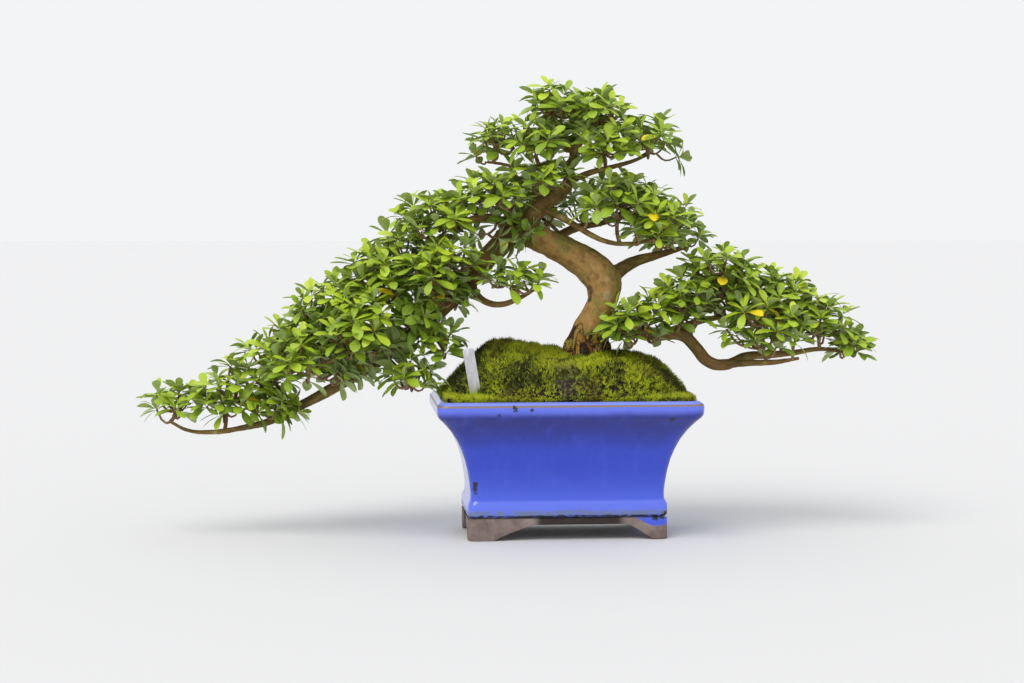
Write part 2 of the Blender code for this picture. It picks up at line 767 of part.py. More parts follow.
def label_prism(grow, look):
    """The plant label, or its slot when it is grown: a strip with a pointed foot and clipped top corners."""
    half = LABEL["width"] / 2 + grow
    top = LABEL["length"] + grow
    clip = LABEL_CLIP
    outline = [
        (0.0, -grow * 2),
        (half, LABEL["point"]),
        (half, top - clip),
        (half - clip, top),
        (clip - half, top),
        (-half, top - clip),
        (-half, LABEL["point"]),
    ]
    bm = bmesh.new()
    depth = LABEL["thick"] / 2 + grow
    face = bm.faces.new([bm.verts.new((x, -depth, z)) for x, z in outline])
    extruded = bmesh.ops.extrude_face_region(bm, geom=[face])
    moved = [item for item in extruded["geom"] if isinstance(item, bmesh.types.BMVert)]
    bmesh.ops.translate(bm, verts=moved, vec=(0, 2 * depth, 0))
    lean = Matrix.Rotation(-LABEL_LEAN_LEFT, 4, "Y") @ Matrix.Rotation(LABEL_LEAN_FRONT, 4, "X")
    bm.transform(Matrix.Translation(LABEL_FOOT) @ lean)
    return object_from(bm, "label", look)


def frames_along(centres):
    """A pair of cross axes for each centre, which don't twist along the line."""
    tangents = []
    for i in range(len(centres)):
        ahead = centres[min(i + 1, len(centres) - 1)]
        behind = centres[max(i - 1, 0)]
        tangents.append((ahead - behind).normalized())
    side = tangents[0].orthogonal().normalized()
    frames = []
    for i, tangent in enumerate(tangents):
        if i:
            side = tangents[i - 1].rotation_difference(tangent) @ side
        side = (side - tangent * side.dot(tangent)).normalized()
        frames.append((side, tangent.cross(side)))
    return frames


def limb_rings(path, sides, flutes=0, turn=0.0):
    centres = [Vector(point[:3]) for point in path]
    rings = []
    for centre, point, (side, up) in zip(centres, path, frames_along(centres)):
        ring = []
        fade = min(1.0, max(0.0, (FLUTE_TOP - centre.z) / FLUTE_FADE)) if flutes else 0.0
        for i in range(sides):
            angle = turn + 2 * math.pi * i / sides
            radius = point[3] * (1 + FLUTE_DEPTH * fade * math.cos(flutes * angle + 0.7))
            ring.append(centre + radius * (math.cos(angle) * side + math.sin(angle) * up))
        rings.append(ring)
    return rings


def placed_path(name):
    """The limb's points and radii, in the pot's frame."""
    shift = Vector((*TREE_PLACE, 0.0))
    return [Vector(point) + shift for point in LIMBS[name]["path"]]


def make_tree(look):
    pieces = []
    for name, limb in LIMBS.items():
        path = placed_path(name)
        flutes = FLUTES if name == "trunk" else 0
        pieces.append(object_from(skin(limb_rings(path, limb["sides"], flutes)), "tree", look))
    tree = unite(pieces)
    tree.name = "tree"
    smooth(tree, 50)
    return tree


def mesh_shell(obj):
    points = [vertex.co.copy() for vertex in obj.data.vertices]
    return points, [tuple(polygon.vertices) for polygon in obj.data.polygons]


class Thicket:
    """What is already in place, so that a new twig or leaf can be kept clear of it."""

    def __init__(self):
        self.trees = []

    def add(self, points, faces):
        points = [Vector(point) for point in points]
        low = Vector(map(min, zip(*points)))
        high = Vector(map(max, zip(*points)))
        self.trees.append((low, high, BVHTree.FromPolygons(points, faces)))

    def add_object(self, obj):
        self.add(*mesh_shell(obj))

    def meets(self, points, faces):
        low = Vector(map(min, zip(*points)))
        high = Vector(map(max, zip(*points)))
        probe = BVHTree.FromPolygons(points, faces)
        for other_low, other_high, tree in self.trees:
            apart = any(low[k] > other_high[k] or high[k] < other_low[k] for k in range(3))
            if not apart and probe.overlap(tree):
                return True
        return False


def strip_faces(rings):
    """Faces of an open skin through rings of equal count, as vertex numbers."""
    count = len(rings[0])
    faces = []
    for k in range(len(rings) - 1):
        for i in range(count):
            j = (i + 1) % count
            faces.append((k * count + i, k * count + j, (k + 1) * count + j, (k + 1) * count + i))
    return faces


def tube_rings(line, radius_start, radius_end, sides=TWIG_SIDES, turn=0.0):
    share = [i / (len(line) - 1) for i in range(len(line))]
    path = [(*point, radius_start + (radius_end - radius_start) * t) for point, t in zip(line, share)]
    return limb_rings(path, sides, turn=turn)


def leaf_sections(root, out, face_up, length):
    """The leaf's cross sections from its root out, and its tip. Each has a left, a right and a keel point."""
    across = out.cross(face_up).normalized()
    normal = across.cross(out).normalized()
    sections = []
    for share, wide in LEAF_STATIONS:
        droop = -LEAF_DROOP * length * share**2
        centre = root + out * length * share + normal * droop
        half = across * (length * LEAF_WIDE * wide / 2)
        sections.append((centre + half, centre - half, centre - normal * LEAF_KEEL))
    tip = root + out * length - normal * (LEAF_DROOP * length)
    return sections, tip


def leaf_shell(base, sections, tip):
    """Points and faces of the leaf past its root, a little swollen, to test what it would meet."""
    start = [Vector(a).lerp(b, LEAF_ROOT_SHARE) for a, b in zip(base, sections[0])]
    rings = [start] + [list(section) for section in sections]
    points = [point for ring in rings for point in ring] + [tip]
    middle = sum(points, Vector()) / len(points)
    points = [point + (point - middle).normalized() * LEAF_CLEAR for point in points]
    last = len(points) - 4
    faces = [(0, 2, 1)] + strip_faces(rings)
    faces += [(last, last + 1, last + 3), (last + 1, last + 2, last + 3), (last + 2, last, last + 3)]
    return points, faces


def grow_leaf(bm, face, keel, sections, tip):
    """Extrudes a leaf from a triangle of the shoot: through its sections, then to a point."""
    for section in sections:
        root = keel.co.copy()
        face = bmesh.ops.extrude_discrete_faces(bm, faces=[face])["faces"][0]
        keel, first, second = sorted(face.verts, key=lambda vert: (vert.co - root).length)
        left, right, low = section
        if (first.co - left).length > (first.co - right).length:
            left, right = right, left
        for corner, place in ((keel, low), (first, left), (second, right)):
            corner.co = place
    made = bmesh.ops.poke(bm, faces=[face])
    made["verts"][0].co = tip


def least_twist(lower, upper):
    """How many corners to turn the upper ring by, so that it faces the lower one."""

    def apart(offset):
        return sum((vert.co - upper[(i + offset) % TWIG_SIDES].co).length for i, vert in enumerate(lower))

    return min(range(TWIG_SIDES), key=apart)


def grow_shoot(line, axis, turn, thicket, rng, look):
    """A twig along the line that ends in tiers of leaves and a pointed bud."""
    twig = [Vector(point) for point in line]
    rings = tube_rings(twig, TWIG_RADIUS * rng.uniform(1.0, 1.2), TWIG_RADIUS, turn=rng.uniform(0, 2))
    side = axis.orthogonal().normalized()
    up = axis.cross(side)
    hub = twig[-1]
    tiers = []
    for tier in range(len(TIERS) + 1):
        ring = []
        for i in range(TWIG_SIDES):
            angle = turn + math.pi * 2 * i / TWIG_SIDES + math.pi / TWIG_SIDES * tier
            reach = math.cos(angle) * side + math.sin(angle) * up
            ring.append(hub + axis * HUB_STEP * (tier + 0.6) + reach * HUB_RADIUS)
        tiers.append(ring)
    bm = bmesh.new()
    loops = [[bm.verts.new(point) for point in ring] for ring in rings[:-1]]
    for low, high in zip(loops, loops[1:]):
        for i in range(TWIG_SIDES):
            j = (i + 1) % TWIG_SIDES
            bm.faces.new((low[i], low[j], high[j], high[i]))
    bm.faces.new(loops[0])
    first = [bm.verts.new(point) for point in tiers[0]]
    offset = least_twist(loops[-1], first)
    first = first[offset:] + first[:offset]
    tiers = [ring[offset:] + ring[:offset] for ring in tiers]
    for i in range(TWIG_SIDES):
        j = (i + 1) % TWIG_SIDES
        bm.faces.new((loops[-1][i], loops[-1][j], first[j], first[i]))
    lower = first
    leafy = []
    for tier, lean in enumerate(TIERS):
        upper = [bm.verts.new(point) for point in tiers[tier + 1]]
        for i in range(TWIG_SIDES):
            j = (i + 1) % TWIG_SIDES
            bm.faces.new((lower[i], lower[j], upper[i]))
            leafy.append((bm.faces.new((lower[j], upper[j], upper[i])), lower[j], lean))
        lower = upper
    bud = bm.verts.new(hub + axis * HUB_STEP * (BUD_STEPS + 1))
    for i in range(TWIG_SIDES):
        bm.faces.new((lower[i], lower[(i + 1) % TWIG_SIDES], bud))
    bmesh.ops.recalc_face_normals(bm, faces=bm.faces)
    grown = 0
    for face, keel, lean in leafy:
        root = face.calc_center_median()
        away = root - hub
        away = (away - axis * away.dot(axis)).normalized()
        base = [vert.co.copy() for vert in face.verts if vert is not keel] + [keel.co.copy()]
        for attempt in range(LEAF_TRIES):
            length = rng.uniform(*LEAF_LENGTH) * (1 - LEAF_SHRINK * attempt)
            swing = rng.uniform(-LEAF_SWING, LEAF_SWING) * (1 + 0.2 * attempt)
            tilt = lean + rng.uniform(-LEAF_TILT, LEAF_TILT) * (1 + 0.3 * attempt)
            spread = Matrix.Rotation(swing, 3, axis) @ away
            out = (axis * math.cos(tilt) + spread * math.sin(tilt)).normalized()
            sections, tip = leaf_sections(root, out, axis, length)
            across = (sections[0][0] - sections[0][1]).normalized()
            if (base[0] - base[1]).dot(across) < 0:
                base[0], base[1] = base[1], base[0]
            points, faces = leaf_shell(base, sections, tip)
            if not thicket.meets(points, faces):
                grow_leaf(bm, face, keel, sections, tip)
                thicket.add(points, faces)
                grown += 1
                break
    return object_from(bm, "shoot", look), grown


def places_on_limb(limb, target):
    """Points of the limb's centre line and their radii, nearest to the target first. Its root is left out."""
    path = placed_path(limb)
    found = []
    for start, end in zip(path[1:], path[2:]):
        found += [start.lerp(end, step / 4) for step in range(5)]
    return sorted(found, key=lambda point: (point.to_3d() - target).length)


def scatter(rng, centre, radii, count, placed):
    """Places spread through the upper shell of a cloud, each the furthest of many draws from those placed."""
    chosen = []
    for _ in range(count):
        best = None
        for _ in range(SITE_DRAWS):
            draw = Vector([rng.gauss(0, 1) for _ in range(3)]).normalized()
            draw.z = abs(draw.z) * SITE_STRETCH - SITE_SINK
            reach = rng.uniform(*SITE_REACH)
            place = centre + Vector([d * r * reach for d, r in zip(draw, radii)])
            room = min([(place - other).length for other in placed], default=1.0)
            if best is None or room > best[0]:
                best = (room, place)
        chosen.append(best[1])
        placed.append(best[1])
    return chosen


def rings_shell(rings):
    return [point for ring in rings for point in ring], strip_faces(rings)


def stem_rings(line):
    return tube_rings(line, STEM_RADIUS, STEM_RADIUS * 0.85, STEM_SIDES)


def stem_from_tip(limb, goal, thicket, tips_used):
    """A stem that grows on from the limb's end, if that is near and free."""
    path = placed_path(limb)
    tip, before = path[-1].to_3d(), path[-2].to_3d()
    if limb in tips_used or (goal - tip).length > TIP_REACH:
        return None
    along = (tip - before).normalized()
    root = tip + along * (GAP + LEAF_CLEAR)
    start = root + along * STEM_START
    knot = start.lerp(goal, 0.4)
    rings = stem_rings([root, start, knot, knot + (goal - knot).normalized() * STEM_RADIUS])
    if thicket.meets(*rings_shell(rings)):
        return None
    tips_used.add(limb)
    return root, knot, rings


def stem_from_side(limb, goal, thicket, wood):
    """A stem from just off the limb's bark up towards the goal."""
    for place in places_on_limb(limb, goal)[:STEM_TRIES]:
        foot, thick = place.to_3d(), place.w
        for lift in STEM_LIFTS:
            towards = ((goal - foot).normalized() + Vector((0, 0, lift))).normalized()
            hit = wood.ray_cast(foot + towards * (thick * 3 + STEM_START), -towards)[0]
            if hit is None:
                continue
            root = hit + towards * (GAP + STEM_RADIUS * 0.9)
            knot = root.lerp(goal, 0.5)
            rings = stem_rings([root, knot, knot + (knot - root).normalized() * STEM_RADIUS])
            if not thicket.meets(*rings_shell(rings)):
                return root, knot, rings
    return None


def twig_to(site, axis, joints, root, thicket, own):
    """The nearest free way to a shoot: its parent joint, bend, hub and what it fills, or None."""
    hub = site - axis * HUB_STEP
    bend = hub - axis * TWIG_BEND
    top = site + axis * HUB_STEP * BUD_STEPS
    for parent in sorted(joints, key=lambda joint: (joint - site).length + FORK_HOME * (joint - root).length):
        rings = tube_rings([parent, parent.lerp(bend, 0.5), bend, top], TWIG_RADIUS, HUB_RADIUS)
        inner, outer = rings_shell(rings[:2]), rings_shell(rings[1:])
        if not (thicket.meets(*inner) or thicket.meets(*outer) or own.meets(*outer)):
            return parent, bend, hub, outer
    return None


def make_spray(name, draw, thicket, wood, placed, tips_used, look):
    limb, centre, radii, count, tips = SPRAYS[name]
    rng = random.Random(f"{SEED} {name} {draw}")
    centre = Vector(centre) + Vector(TREE_PLACE)
    sites = [Vector(tip) + Vector(TREE_PLACE) for tip in tips]
    placed += sites
    sites += scatter(rng, centre, radii, count, placed)
    goal = centre - Vector((0, 0, radii[2] * KNOT_DROP))
    found = stem_from_tip(limb, goal, thicket, tips_used) or stem_from_side(limb, goal, thicket, wood)
    if found is None:
        return None
    root, knot, stem = found
    pieces = [object_from(skin(stem), name, look)]
    own = Thicket()
    sites.sort(key=lambda site: (site - knot).length)
    joints = [knot]
    leaves = 0
    for site in sites:
        outward = Vector((gap / radius for gap, radius in zip(site - centre, radii)))
        axis = Vector((0, 0, 1)) + SHOOT_SPREAD * outward + SHOOT_FOLLOW * (site - root).normalized()
        axis.normalize()
        way = twig_to(site, axis, joints, root, thicket, own)
        if way is None:
            continue
        parent, bend, hub, outer = way
        sunk = parent - (bend - parent).normalized() * TWIG_RADIUS * rng.uniform(*TWIG_SUNK)
        shoot, grown = grow_shoot([sunk, bend, hub], axis, rng.uniform(0, 2), thicket, rng, look)
        pieces.append(shoot)
        leaves += grown
        own.add(*outer)
        joints.append(parent.lerp(bend, rng.uniform(*FORK_SHARE)))
    thicket.trees += own.trees
    thicket.add(*rings_shell(stem))
    spray = unite(pieces)
    spray.name = name
    print(name, "draw", draw, len(pieces) - 1, "of", len(sites), "shoots", leaves, "leaves")
    return spray


def make_sprays(thicket, wood, look):
    """Every spray. One that crosses another, or doesn't join into a single closed body, is drawn again."""
    placed, tips_used, done = [], set(), Thicket()
    for name in SPRAYS:
        for draw in range(SPRAY_DRAWS):
            trees, sites, used = len(thicket.trees), len(placed), set(tips_used)
            spray = make_spray(name, draw, thicket, wood, placed, tips_used, look)
            shell = mesh_shell(spray) if spray else None
            if spray and is_one_closed_body(spray.data) and not done.meets(*shell):
                done.add(*shell)
                break
            if spray:
                bpy.data.objects.remove(spray, do_unlink=True)
            del thicket.trees[trees:], placed[sites:]
            tips_used = used
        else:
            print("left out:", name)


def settle_origin():
    """Moves every piece so that the origin is under the middle of the whole bonsai, at its feet."""
    bpy.context.view_layer.update()
    low, high = Vector((9, 9, 9)), Vector((-9, -9, -9))
    for obj in bpy.context.scene.objects:
        for vertex in obj.data.vertices:
            low = Vector(map(min, low, vertex.co))
            high = Vector(map(max, high, vertex.co))
    middle = (low + high) / 2
    for obj in bpy.context.scene.objects:
        obj.location = (-middle.x, -middle.y, -low.z)
    print("middle of the whole over the pot's middle:", [round(v, 5) for v in middle], "low", low.z)


def main():
    clear_scene()
    glaze = material("blue_glaze", (0.10, 0.15, 0.62), 0.18)
    earth = material("soil", (0.07, 0.05, 0.035), 0.95)
    green = material("moss", (0.17, 0.24, 0.03), 0.95)
    bark = material("bark", (0.30, 0.17, 0.08), 0.80)
    leaf = material("leaf", (0.18, 0.36, 0.06), 0.45)
    plastic = material("label_plastic", (0.75, 0.75, 0.78), 0.50)
    mesh_black = material("screen_plastic", (0.02, 0.02, 0.02), 0.60)
    pot = make_pot(glaze)
    screens = [make_screen("drain_screen_left", -DRAIN_X, mesh_black)]
    screens.append(make_screen("drain_screen_right", DRAIN_X, mesh_black))
    soil = make_soil(earth)
    for side in (-1, 1):
        bm = bmesh.new()
        bmesh.ops.create_cube(bm, size=1.0)
        room = SCREEN_SIDE + 4 * GAP  # the soil stands clear of the screen
        bmesh.ops.scale(bm, verts=bm.verts, vec=(room, room, 2 * (SCREEN_THICK + 3 * GAP)))
        bmesh.ops.translate(bm, verts=bm.verts, vec=(side * DRAIN_X, 0, FLOOR_TOP))
        cut(soil, object_from(bm, "screen_room", earth))
    cut(soil, label_prism(GAP, earth))
    moss = make_moss(green)
    cut(moss, label_prism(GAP, green))
    label = label_prism(0.0, plastic)
    tree = make_tree(bark)
    thicket = Thicket()
    for obj in (pot, moss, label, tree):
        thicket.add_object(obj)
    graph = bpy.context.evaluated_depsgraph_get()
    wood = BVHTree.FromObject(tree, graph)
    make_sprays(thicket, wood, leaf)
    settle_origin()


main()
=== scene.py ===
# Azalea bonsai in its glazed pot: the looks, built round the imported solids
import math
import random

import bmesh
import bpy
import numpy as np
from mathutils import Matrix, Vector, noise


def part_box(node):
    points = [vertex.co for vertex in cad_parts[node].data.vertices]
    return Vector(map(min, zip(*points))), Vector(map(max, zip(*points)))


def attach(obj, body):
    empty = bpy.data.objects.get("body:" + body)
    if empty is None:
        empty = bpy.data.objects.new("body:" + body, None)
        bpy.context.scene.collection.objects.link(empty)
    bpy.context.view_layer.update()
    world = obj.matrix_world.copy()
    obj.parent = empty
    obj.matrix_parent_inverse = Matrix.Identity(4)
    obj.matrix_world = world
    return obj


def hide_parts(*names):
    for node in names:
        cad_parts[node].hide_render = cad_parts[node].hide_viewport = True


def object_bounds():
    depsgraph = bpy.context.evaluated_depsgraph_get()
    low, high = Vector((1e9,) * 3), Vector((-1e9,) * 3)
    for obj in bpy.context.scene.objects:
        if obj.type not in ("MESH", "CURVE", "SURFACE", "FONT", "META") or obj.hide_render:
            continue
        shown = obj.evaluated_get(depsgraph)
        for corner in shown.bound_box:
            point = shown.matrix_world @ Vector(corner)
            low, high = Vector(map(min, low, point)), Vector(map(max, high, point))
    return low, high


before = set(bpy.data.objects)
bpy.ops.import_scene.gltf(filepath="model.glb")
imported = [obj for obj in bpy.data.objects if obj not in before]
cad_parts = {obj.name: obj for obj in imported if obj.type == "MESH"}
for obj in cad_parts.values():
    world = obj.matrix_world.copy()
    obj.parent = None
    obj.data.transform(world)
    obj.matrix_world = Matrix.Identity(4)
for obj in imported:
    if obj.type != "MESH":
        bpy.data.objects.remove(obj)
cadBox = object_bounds()

potLow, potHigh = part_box("pot")
potMiddle = Vector(((potLow.x + potHigh.x) / 2, (potLow.y + potHigh.y) / 2, 0))
treeShift = potMiddle + Vector((0.0070, 0, -0.0095))


# a node's output. Sums, differences and products of it add Math nodes
class Wire:
    def __init__(self, look, socket):
        self.look = look
        self.socket = socket

    def __add__(self, other):
        return self.look.maths("ADD", self, other)

    def __radd__(self, other):
        return self.look.maths("ADD", other, self)

    def __sub__(self, other):
        return self.look.maths("SUBTRACT", self, other)

    def __rsub__(self, other):
        return self.look.maths("SUBTRACT", other, self)

    def __mul__(self, other):
        return self.look.maths("MULTIPLY", self, other)

    def __rmul__(self, other):
        return self.look.maths("MULTIPLY", other, self)

    def __abs__(self):
        return self.look.maths("ABSOLUTE", self, 0.0)


# a material and its nodes
class Look:
    def __init__(self, name, fixed={}):
        self.material = bpy.data.materials.new(name)
        self.material.use_nodes = True
        self.tree = self.material.node_tree
        self.shader = self.tree.nodes["Principled BSDF"]
        self.colour = None
        for socket, value in fixed.items():
            self.shader.inputs[socket].default_value = value

    def add(self, kind, settings, links, out=0):
        node = self.tree.nodes.new("ShaderNode" + kind)
        for name, value in settings.items():
            if name == "stops":
                self.setStops(node.color_ramp, value)
            else:
                setattr(node, name, value)
        for name, value in links.items():
            socket = node.inputs[name]
            if isinstance(value, Wire):
                self.tree.links.new(value.socket, socket)
            elif socket.type == "RGBA":
                socket.default_value = (*value, 1)
            else:
                socket.default_value = value
        return Wire(self, node.outputs[out])

    def setStops(self, ramp, stops):
        while len(ramp.elements) < len(stops):
            ramp.elements.new(0.5)
        for element, (place, colour) in zip(ramp.elements, stops):
            element.position = place
            element.color = (*colour, 1)

    def maths(self, kind, first, second):
        return self.add("Math", {"operation": kind}, {0: first, 1: second})

    def coords(self):
        return self.add("TexCoord", {}, {}, "Object")

    def attribute(self, name, out="Vector"):
        return self.add("Attribute", {"attribute_name": name}, {}, out)

    def axis(self, vector, letter):
        return self.add("SeparateXYZ", {}, {"Vector": vector}, letter)

    def stretched(self, vector, scale):
        return self.add("VectorMath", {"operation": "MULTIPLY"}, {0: vector, 1: scale})

    def jostled(self, vector, wire, reach):
        # a place pushed about by noise
        push = self.stretched(wire, (reach, reach, reach))
        return self.add("VectorMath", {"operation": "ADD"}, {0: vector, 1: push})

    def noise(self, vector, scale, detail=3.0, roughness=0.55, distortion=0.0):
        values = {"Vector": vector, "Scale": scale, "Detail": detail, "Roughness": roughness}
        return self.add("TexNoise", {}, {**values, "Distortion": distortion})

    def step(self, value, start, end):
        values = {"Value": value, "From Min": start, "From Max": end}
        return self.add("MapRange", {"interpolation_type": "SMOOTHSTEP"}, values)

    def band(self, value, middle, half, soft):
        return 1 - self.step(abs(value - middle), half, half + soft)

    def mix(self, factor, first, second):
        return self.add("Mix", {"data_type": "RGBA"}, {0: factor, 6: first, 7: second}, 2)

    def paint(self, share, tone):
        # a tone over the colour so far
        self.colour = self.mix(share, self.colour, tone)

    def ramp(self, value, stops):
        return self.add("ValToRGB", {"stops": stops}, {"Fac": value})

    def spots(self, value, places):
        # how near a point is to any of the named places: (x, y, z, reach)
        found = None
        for x, y, z, reach in places:
            away = self.add("VectorMath", {"operation": "DISTANCE"}, {0: value, 1: (x, y, z)}, "Value")
            near = 1 - self.step(away, reach * 0.55, reach)
            found = near if found is None else self.maths("MAXIMUM", found, near)
        return found

    def bump(self, height, strength, distance):
        return self.add("Bump", {}, {"Height": height, "Strength": strength, "Distance": distance}, "Normal")

    def feed(self, socket, wire):
        self.tree.links.new(wire.socket, self.shader.inputs[socket])


def metres(millimetres):
    return [value / 1000 for value in millimetres]


def linkMesh(mesh, name, materials):
    for material in materials:
        mesh.materials.append(material)
    piece = bpy.data.objects.new(name, mesh)
    bpy.context.scene.collection.objects.link(piece)
    return piece


def pieceFrom(bm, name, materials, shift=None, sharp=40):
    if shift:
        bmesh.ops.translate(bm, verts=bm.verts, vec=shift)
    mesh = bpy.data.meshes.new(name)
    bm.to_mesh(mesh)
    bm.free()
    piece = linkMesh(mesh, name, materials)
    mesh.shade_smooth()
    mesh.set_sharp_from_angle(angle=math.radians(sharp))
    return piece


def settled(piece):
    # the mesh that the modifiers make
    bpy.context.view_layer.update()
    graph = bpy.context.evaluated_depsgraph_get()
    return bpy.data.meshes.new_from_object(piece.evaluated_get(graph))


def fit(piece, slot, *nodes):
    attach(piece, "root")
    if nodes:
        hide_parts(*nodes)


def movedVerts(made):
    return [item for item in made["geom"] if isinstance(item, bmesh.types.BMVert)]


def movedEdges(made):
    return [item for item in made["geom"] if isinstance(item, bmesh.types.BMEdge)]


# camera
view = {
    "focalPixels": 2100,
    "imageWidth": 1024,
    "swing": math.radians(-5),
    "dip": math.radians(3.3),
    "away": 2.1,
    "aside": 0.051,
    "height": 0.3135,
}


def makeCamera():
    data = bpy.data.cameras.new("camera")
    data.sensor_width = 36
    data.lens = data.sensor_width * view["focalPixels"] / view["imageWidth"]
    camera = bpy.data.objects.new("camera", data)
    bpy.context.scene.collection.objects.link(camera)
    bpy.context.scene.camera = camera
    ahead = Vector((-math.sin(view["swing"]), math.cos(view["swing"]), 0))
    right = Vector((math.cos(view["swing"]), math.sin(view["swing"]), 0))
    camera.location = potMiddle - ahead * view["away"] - right * view["aside"]
    camera.location.z = view["height"]
    look = ahead * math.cos(view["dip"]) - Vector((0, 0, math.sin(view["dip"])))
    camera.rotation_euler = look.to_track_quat("-Z", "Y").to_euler()


makeCamera()
print("camera set")


# pot. Rows are height and half width in millimetres. The half depth is depthLess smaller
pot = {
    "depthLess": 0.0455,
    "outside": [
        (15, 64), (15, 95), (22.2, 96), (22.7, 97.4), (24.8, 99), (34, 99), (37.5, 97.5), (40, 96.2),
        (48, 96.1), (56, 97), (68, 99), (79, 101.6), (90, 105.6), (100, 110.3), (109, 116.2), (116, 122),
        (119.2, 125), (121.6, 127.5), (124, 129.2), (126.6, 130.1), (133, 130.3), (135.2, 129.6),
        (137.8, 126.6), (138.4, 124), (137.6, 121.2),
    ],
    "inside": [
        (133, 119.4), (122, 115.8), (109, 106), (90, 95.5), (70, 90), (50, 87.5), (32, 86), (27.5, 84),
        (27, 80), (27, 64),
    ],
    "rimTop": 0.1384,
    "cornerRim": 0.0105,
    "cornerBase": 0.0075,
    "cornerSteps": 5,
    "sideCuts": 14,
    "footCuts": 46,
    "footHalf": 0.0988,
    "footThick": 0.012,
    "footRound": 0.0011,
    "footInner": 0.0015,
    "footMargin": 0.0006,
    "footSoft": 0.003,
    "footSideShare": 0.60,
    "footRightShare": 0.62,
    "footTop": 0.0215,
    "footCurve": [(0, 0), (26.5, 0), (34, 4.5), (50, 10.5), (62, 14.8), (70, 15.8)],
    "drainAside": 0.046,
    "drainRadius": 0.010,
    "drainDeep": (0.002, 0.042),
}


# glaze. Marks are millimetres in from a front corner, back and up, and their reach
glaze = {
    "body": (0.022, 0.058, 0.570),
    "light": (0.050, 0.100, 0.700),
    "deep": (0.010, 0.020, 0.250),
    "litGlaze": (0.115, 0.170, 0.800),
    "rimTop": (0.200, 0.260, 0.820),
    "edge": (0.215, 0.150, 0.115),
    "grime": (0.130, 0.170, 0.190),
    "black": (0.012, 0.011, 0.012),
    "clay": (0.170, 0.120, 0.105),
    "clayPale": (0.290, 0.225, 0.205),
    "apronShade": (0.016, 0.010, 0.007),
    "rimLine": 0.1345,
    "clayTop": 0.0222,
    "ledgeMiddle": 0.0305,
    "endWallHighlight": (0.420, 0.450, 0.740),
    "marksLeft": [
        (42, 37.5, 59, 3.6), (41.6, 37.5, 55, 4), (42.2, 37.5, 51, 3.2), (78.6, 4.5, 137.5, 3.6),
        (79.5, 5, 134, 3), (95, 5, 135, 2.8), (64, 6, 130.5, 3),
    ],
    "marksRight": [
        (28, 8, 125.5, 3), (29, 36.5, 30, 3.6), (33, 36, 26.5, 3.6), (40, 36, 25, 3.4), (26, 55, 60, 4),
    ],
}


